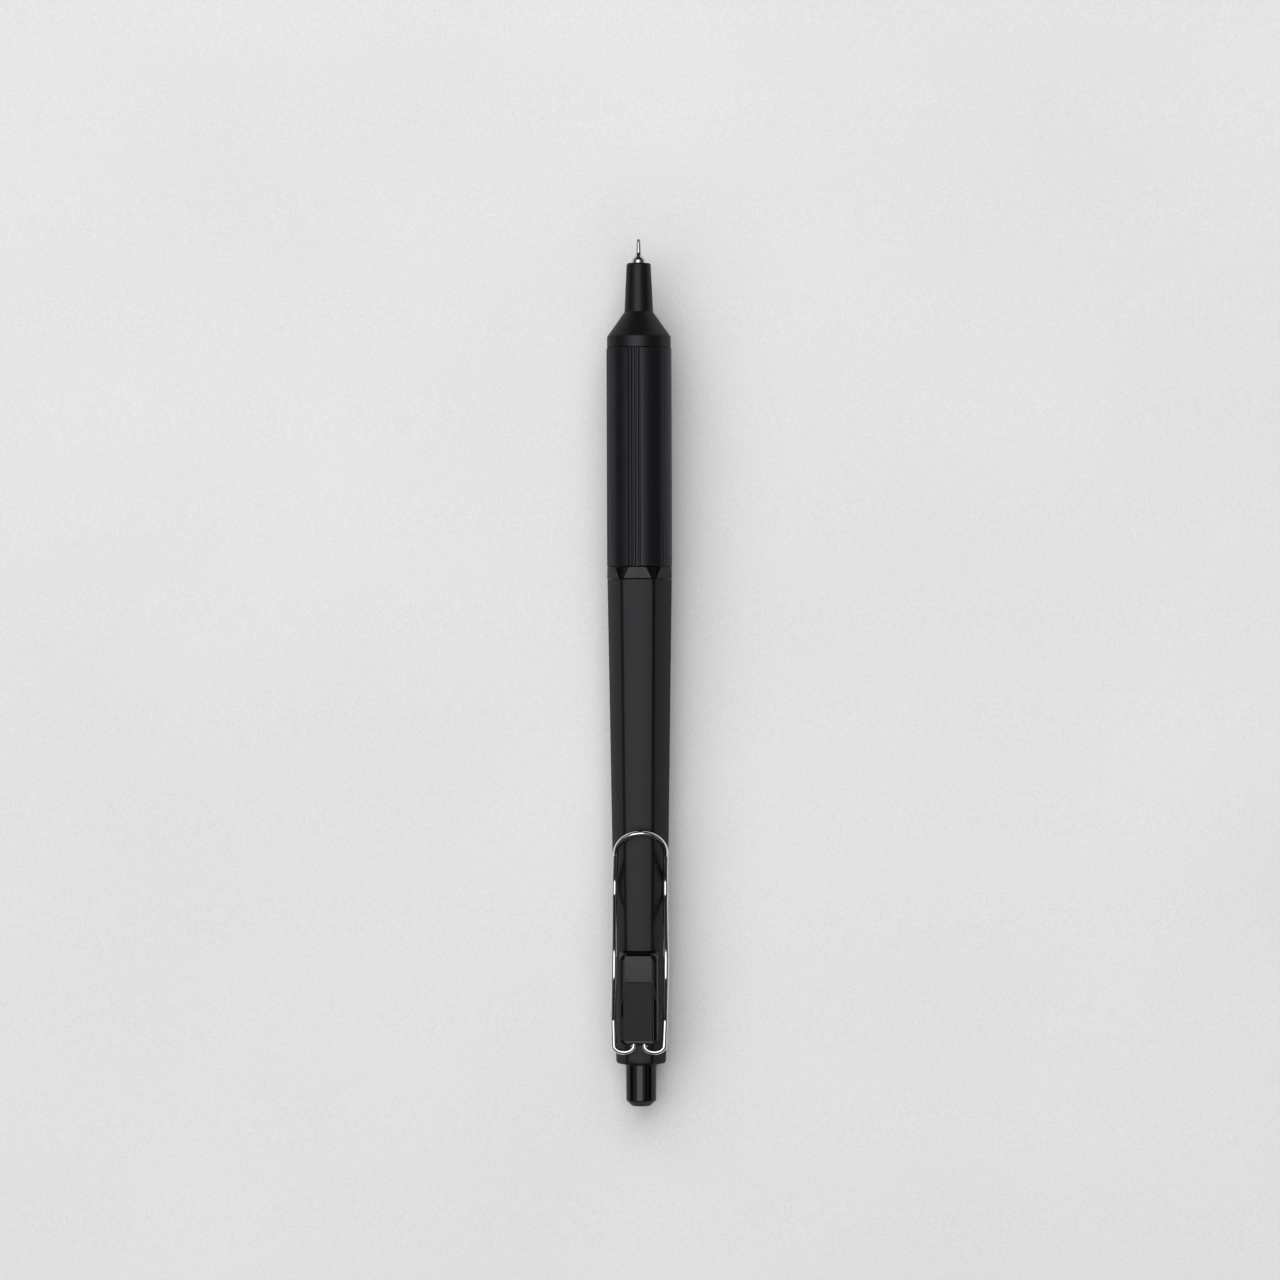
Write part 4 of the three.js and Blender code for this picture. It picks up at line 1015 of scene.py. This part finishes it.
pad_start, pad_end = pad_front - PAD_FORWARD, seam - SEAM / 2
cover_start, cover_end = seam + SEAM / 2, cover_rear - COVER_SHORT
front_rows = plate_rows(pad_start, pad_end, pad_top, PAD_CORNER, BLOCK_LEAN)
front_plate = solid("front_plate", front_rows, False, ring_coat, "casing", 30)
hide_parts("holder_front_pad")
rear_rows = plate_rows(cover_start, cover_end, lambda station: PLATE_TOP, PLATE_CORNER, 0)
rear_plate = solid("rear_plate", rear_rows, False, plate_coat, "casing", 30)
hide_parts("holder_rear_cover")

# %% [markdown]
# ## The wire clip
# One wire: from a hole in the block it hooks round, runs forward beside the barrel over a peak
# and down into a valley, and turns up in a half-round loop in front. First comes the path, as
# a wire bender would set it: straight runs with rounded bends, mirrored for the other side. A
# clip like this sits a little loose in its two holes, so the path is then rolled and turned by
# a few degrees, and its two arms don't look alike from above.

# %% The path of the wire
WIRE = 0.45
HOOK_STAND_OFF, HOOK, HOOK_DEPTH = 0.1, 1.62, 1.08
ARM_SPREAD, VALLEY_SPREAD, LOOP_SPREAD = 4.28, 4.2, 4.17
ARM_BEND, ARM_PEAK, ARM_VALLEY, LOOP_START = 4.2, 14.0, 26.0, 31.42
PEAK_HEIGHT, VALLEY_SINK, LOOP_TOP = 7.17, 0.4, 6.87
VALLEY_CLEARANCE = 0.1
LOOP_STRAIGHT, LOOP_REACH, LOOP_TILT = 0.3, 4.6, 40
LEAN, SWAY = 5.5, 0.67  # degrees that the clip is rolled and turned to the right
ARM_BENDS = (3.0, 11.5, 7.0, 1.4)  # radii at the hook's end, the peak, the valley and the loop
WIRE_SIDES = 28
HALF_ROUND_STEPS = 64
BEND_STEPS = 24

hook_station = block_rear + HOOK_STAND_OFF
valley_station = hook_station - ARM_VALLEY
side_reach = barrel_flat(valley_station) + WIRE + VALLEY_CLEARANCE
valley_height = 2 * side_reach - math.sqrt(3) * VALLEY_SPREAD  # just clear of the slanting side
loop_way = Vector((0, math.cos(math.radians(LOOP_TILT)), math.sin(math.radians(LOOP_TILT))))
loop_rise = (LOOP_STRAIGHT + LOOP_REACH) * loop_way.z
loop_start = above(LOOP_SPREAD, hook_station - LOOP_START, LOOP_TOP - loop_rise)
arm = [
    above(WIRE_END_SPREAD + 2 * HOOK, hook_station, WIRE_LEVEL),
    above(ARM_SPREAD, hook_station - ARM_BEND, WIRE_LEVEL),
    above(ARM_SPREAD, hook_station - ARM_PEAK, PEAK_HEIGHT),
    above(VALLEY_SPREAD, valley_station, valley_height - VALLEY_SINK),
    loop_start,
    loop_start + loop_way * (LOOP_STRAIGHT * MM),
]


def half_round(centre, to_start, to_middle):
    """Half an ellipse from a start through a middle."""
    turns = [math.pi * i / HALF_ROUND_STEPS for i in range(HALF_ROUND_STEPS + 1)]
    return [centre + to_start * math.cos(turn) + to_middle * math.sin(turn) for turn in turns]


def bent(corners, bends):
    """Straight runs with a rounded bend at each inner corner."""
    run = [corners[0]]
    for before, corner, after, bend in zip(corners, corners[1:], corners[2:], bends):
        back, on = before - corner, after - corner
        half = (math.pi - back.angle(on)) / 2
        reach = min(bend * MM * math.tan(half), back.length / 2, on.length / 2)
        run += short_curve(corner, back, on, reach, BEND_STEPS)
    return run + [corners[-1]]


hook_centre = above(WIRE_END_SPREAD + HOOK, hook_station, WIRE_LEVEL)
half_path = [above(WIRE_END_SPREAD, block_rear - WIRE_END_DEPTH, WIRE_LEVEL)]
inwards, back = Vector((-HOOK, 0, 0)) * MM, Vector((0, -HOOK_DEPTH, 0)) * MM
half_path += half_round(hook_centre, inwards, back)
half_path += bent(arm, ARM_BENDS)
loop_centre = Vector((0, arm[-1].y, arm[-1].z))
loop = half_round(loop_centre, Vector((LOOP_SPREAD * MM, 0, 0)), loop_way * (LOOP_REACH * MM))
mirrored = [Vector((-p.x, p.y, p.z)) for p in reversed(half_path)]
wire_path = [half_path[0]]
for point in half_path + loop + mirrored:
    if (point - wire_path[-1]).length > 1e-6:
        wire_path.append(point)
pivot = above(0, hook_station, WIRE_LEVEL)
rolled = Matrix.Rotation(math.radians(LEAN), 3, "Y")
leaning = Matrix.Rotation(-math.radians(SWAY), 3, "Z") @ rolled
wire_path = [pivot + leaning @ (point - pivot) for point in wire_path]
print(f"wire of {sum((b - a).length for a, b in zip(wire_path, wire_path[1:])) / MM:.1f} mm")

# %% [markdown]
# A curve with a bevel could carry the wire's round section. A tree does the same and ends in a
# plain, capped mesh, with the radius and the number of sides as inputs.

# %% The tree that sweeps the wire
WIRE_INPUTS = {"Float": ("Radius",), "Int": ("Sides",), "Material": ("Finish",)}
sweep, given = shape_tree("swept wire", WIRE_INPUTS)
run = sweep.shape("MeshToCurve", Mesh=given["Geometry"])
section = sweep.shape("CurvePrimitiveCircle", Resolution=given["Sides"], Radius=given["Radius"])
swept = sweep.shape("CurveToMesh", **{"Curve": run, "Profile Curve": section, "Fill Caps": True})
end_tree(sweep, swept, given["Finish"])
wire_edges = [(i, i + 1) for i in range(len(wire_path) - 1)]
wire_values = {"Radius": WIRE * MM, "Sides": WIRE_SIDES, "Finish": wire_plate.material}
wire_mesh = grown("wire path", wire_path, wire_edges, sweep, wire_values)
turn_outwards(wire_mesh)
wire = settled("bent_wire_clip", wire_mesh, wire_plate, "clip", crease=40)
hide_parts("clip_wire")

# %% [markdown]
# ## The button
# A cap with a long bevel at its end. Inside is the hole for the plunger's stem, and in front
# the flange that keeps the button from falling out. It is turned on a lathe like the nose, so
# one spun profile makes all of it.

# %% Push button
BUTTON_FRONT, BUTTON_REAR = 2.53, 2.49
BEVEL_RUN, BEVEL_RISE = 0.91, 0.93
END_GAP = 0.001  # between its end and the end of the model's box
FLANGE, FLANGE_LENGTH = 3.05, 1.0
STEM_BORE, END_WALL_DEPTH = 1.75, 3.0
flange_rear = button_front + FLANGE_LENGTH
cap_end = button_rear - END_GAP
bore_end = button_rear - END_WALL_DEPTH
button = turned(
    "button_cap",
    [
        (0.0, cap_end, 0),
        (BUTTON_REAR - BEVEL_RISE, cap_end, 0.08),
        (BUTTON_REAR, button_rear - BEVEL_RUN, 0.10),
        (BUTTON_FRONT, barrel_rear, 0),
        (BUTTON_FRONT, flange_rear, 0),
        (FLANGE, flange_rear, 0),
        (FLANGE, button_front, 0),
        (STEM_BORE, button_front, 0),
        (STEM_BORE, bore_end, 0),
        (0.0, bore_end, 0),
    ],
    button_coat,
    "button",
    crease=24,
)
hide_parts("push_button")

# %% [markdown]
# ## The table, the light and the camera
# The pen lies on a pale, finely grained table. It touches it with the rear edge of its grip
# and the rear edge of its barrel, so the table is laid through those two, a degree or so off
# the frame's own level. Its grain is one noise in colour, gloss and relief, because in a real
# surface the same small pits make all three.

# %% Table
TABLE_HALF = 3.0
slope = (BARREL_REAR_FLAT - GRIP) / (round_start - grip_rear)
table_points = []
for x, y in ((-1, -1), (1, -1), (1, 1), (-1, 1)):
    station = TIP_Y - y * TABLE_HALF / MM
    low = AXIS_HEIGHT - GRIP - slope * (station - grip_rear)
    table_points.append((x * TABLE_HALF, y * TABLE_HALF, low * MM))
table_mesh = bpy.data.meshes.new("table")
table_mesh.from_pydata(table_points, [], [(0, 1, 2, 3)])
table_finish = Finish("pale grained table", Specular_IOR_Level=0.3)
fine_grain = table_finish.noise(0.36, detail=4)
shade = table_finish.noise(60, detail=1)
grain_share = fine_grain * 0.7 + shade * 0.3
table_tone = table_finish.between((0.64, 0.64, 0.64), (0.89, 0.89, 0.89), grain_share)
table_finish.drive("Base Color", table_tone)
table_finish.drive("Roughness", 0.62 + (fine_grain - 0.5) * 0.1)
table_finish.relief(fine_grain, 0.05)
table_mesh.materials.append(table_finish.material)
table = placed("table", table_mesh)
print(f"the table slopes by {math.degrees(math.atan(slope)):.2f} degrees")

# %% [markdown]
# What a pen mirrors and what lights the table round it are two different things, which a
# studio sets with different lamps and flags. So there are two sets of lamps here. The first is
# only mirrored: a large soft box high above, a little to the left, a wider and weaker one
# round it, and a dim panel on either side. Only the wire's level parts can mirror the box, so
# they are white, and its slanting parts are dark. The second set only shines. Its boxes,
# windows and walls make the shadow beside the pen as soft and as pale as a bright room does.

# %% Lamps and room
LAMP_HEIGHT = 1.2
ROOM_LIGHT = 0.02


def soft_box(name, to_left, to_front, half_wide, half_deep, brightness, mirrored):
    """A lamp that faces the pen; its place and half sizes are angles, as the pen sees them."""
    angles = (to_left, to_front, half_wide, half_deep)
    lean, tip, wide, deep = (math.tan(math.radians(angle)) for angle in angles)
    data = bpy.data.lights.new(name, "AREA")
    data.shape = "RECTANGLE"
    data.size, data.size_y = 2 * LAMP_HEIGHT * wide, 2 * LAMP_HEIGHT * deep
    data.energy = brightness * data.size * data.size_y
    light = placed(name, data)
    away = Vector((-lean, tip, 1)).normalized()
    across = Vector((0, 1, 0)).cross(away).normalized()
    facing = Matrix((across, away.cross(across), away)).transposed().to_4x4()
    light.matrix_world = Matrix.Translation(away * LAMP_HEIGHT) @ facing
    light.visible_camera = False
    light.visible_diffuse, light.visible_glossy = not mirrored, mirrored


mirrored_boxes = (
    ("soft box", 7, 0, 21, 22, 5.0),
    ("wide weak box", 9, 0, 43, 22, 1.0),
    ("left panel", 57, 0, 8, 50, 0.4),
    ("right panel", -55, 0, 8, 50, 0.4),
)
shining_boxes = (
    ("wide box", 9, 0, 42, 22, 7.9),
    ("front box", 9, 34, 34, 11, 4.6),
    ("front window", 9, 50, 34, 7, 8.8),
    ("low front window", 9, 62, 34, 5, 11),
    ("rear window", 9, -62, 34, 6, 14),
    ("left wall", 57, 0, 8, 40, 3.4),
    ("right wall", -55, 0, 8, 40, 1.2),
)
for box in mirrored_boxes:
    soft_box(*box, mirrored=True)
for box in shining_boxes:
    soft_box(*box, mirrored=False)
print(len(mirrored_boxes), "lamps to mirror,", len(shining_boxes), "lamps that shine")

room = bpy.data.worlds.new("room")
room.use_nodes = True
room_light = room.node_tree.nodes["Background"]
room_light.inputs["Color"].default_value = (1, 1, 1, 1)
room_light.inputs["Strength"].default_value = ROOM_LIGHT
bpy.context.scene.world = room
bpy.context.scene.view_settings.view_transform = "Standard"

# %% [markdown]
# The camera looks straight down from a good arm's length. The pen lies rolled four degrees to
# the left, which is the same as a camera four degrees to the right of its top flat.

# %% Camera
AIM_X, AIM_Y = 0.03, 5.35  # the point in the middle of the picture, in millimetres
CAMERA_DISTANCE, SENSOR, LENS = 850, 36, 143.9
CAMERA_ROUND, CAMERA_TURN = math.radians(4), math.radians(0.18)
aim = Vector((AIM_X, AIM_Y, AXIS_HEIGHT)) * MM
outwards = Vector((math.sin(CAMERA_ROUND), 0, math.cos(CAMERA_ROUND)))
up = Matrix.Rotation(-CAMERA_TURN, 3, outwards) @ Vector((0, 1, 0))
right = up.cross(outwards)
camera_data = bpy.data.cameras.new("camera")
camera_data.sensor_width, camera_data.lens = SENSOR, LENS
camera_data.clip_start = 0.01
camera = placed("camera", camera_data)
turned_to = Matrix((right, up, outwards)).transposed().to_4x4()
camera.matrix_world = Matrix.Translation(aim + outwards * (CAMERA_DISTANCE * MM)) @ turned_to
bpy.context.scene.camera = camera
print("camera at", [round(share, 3) for share in camera.matrix_world.translation])
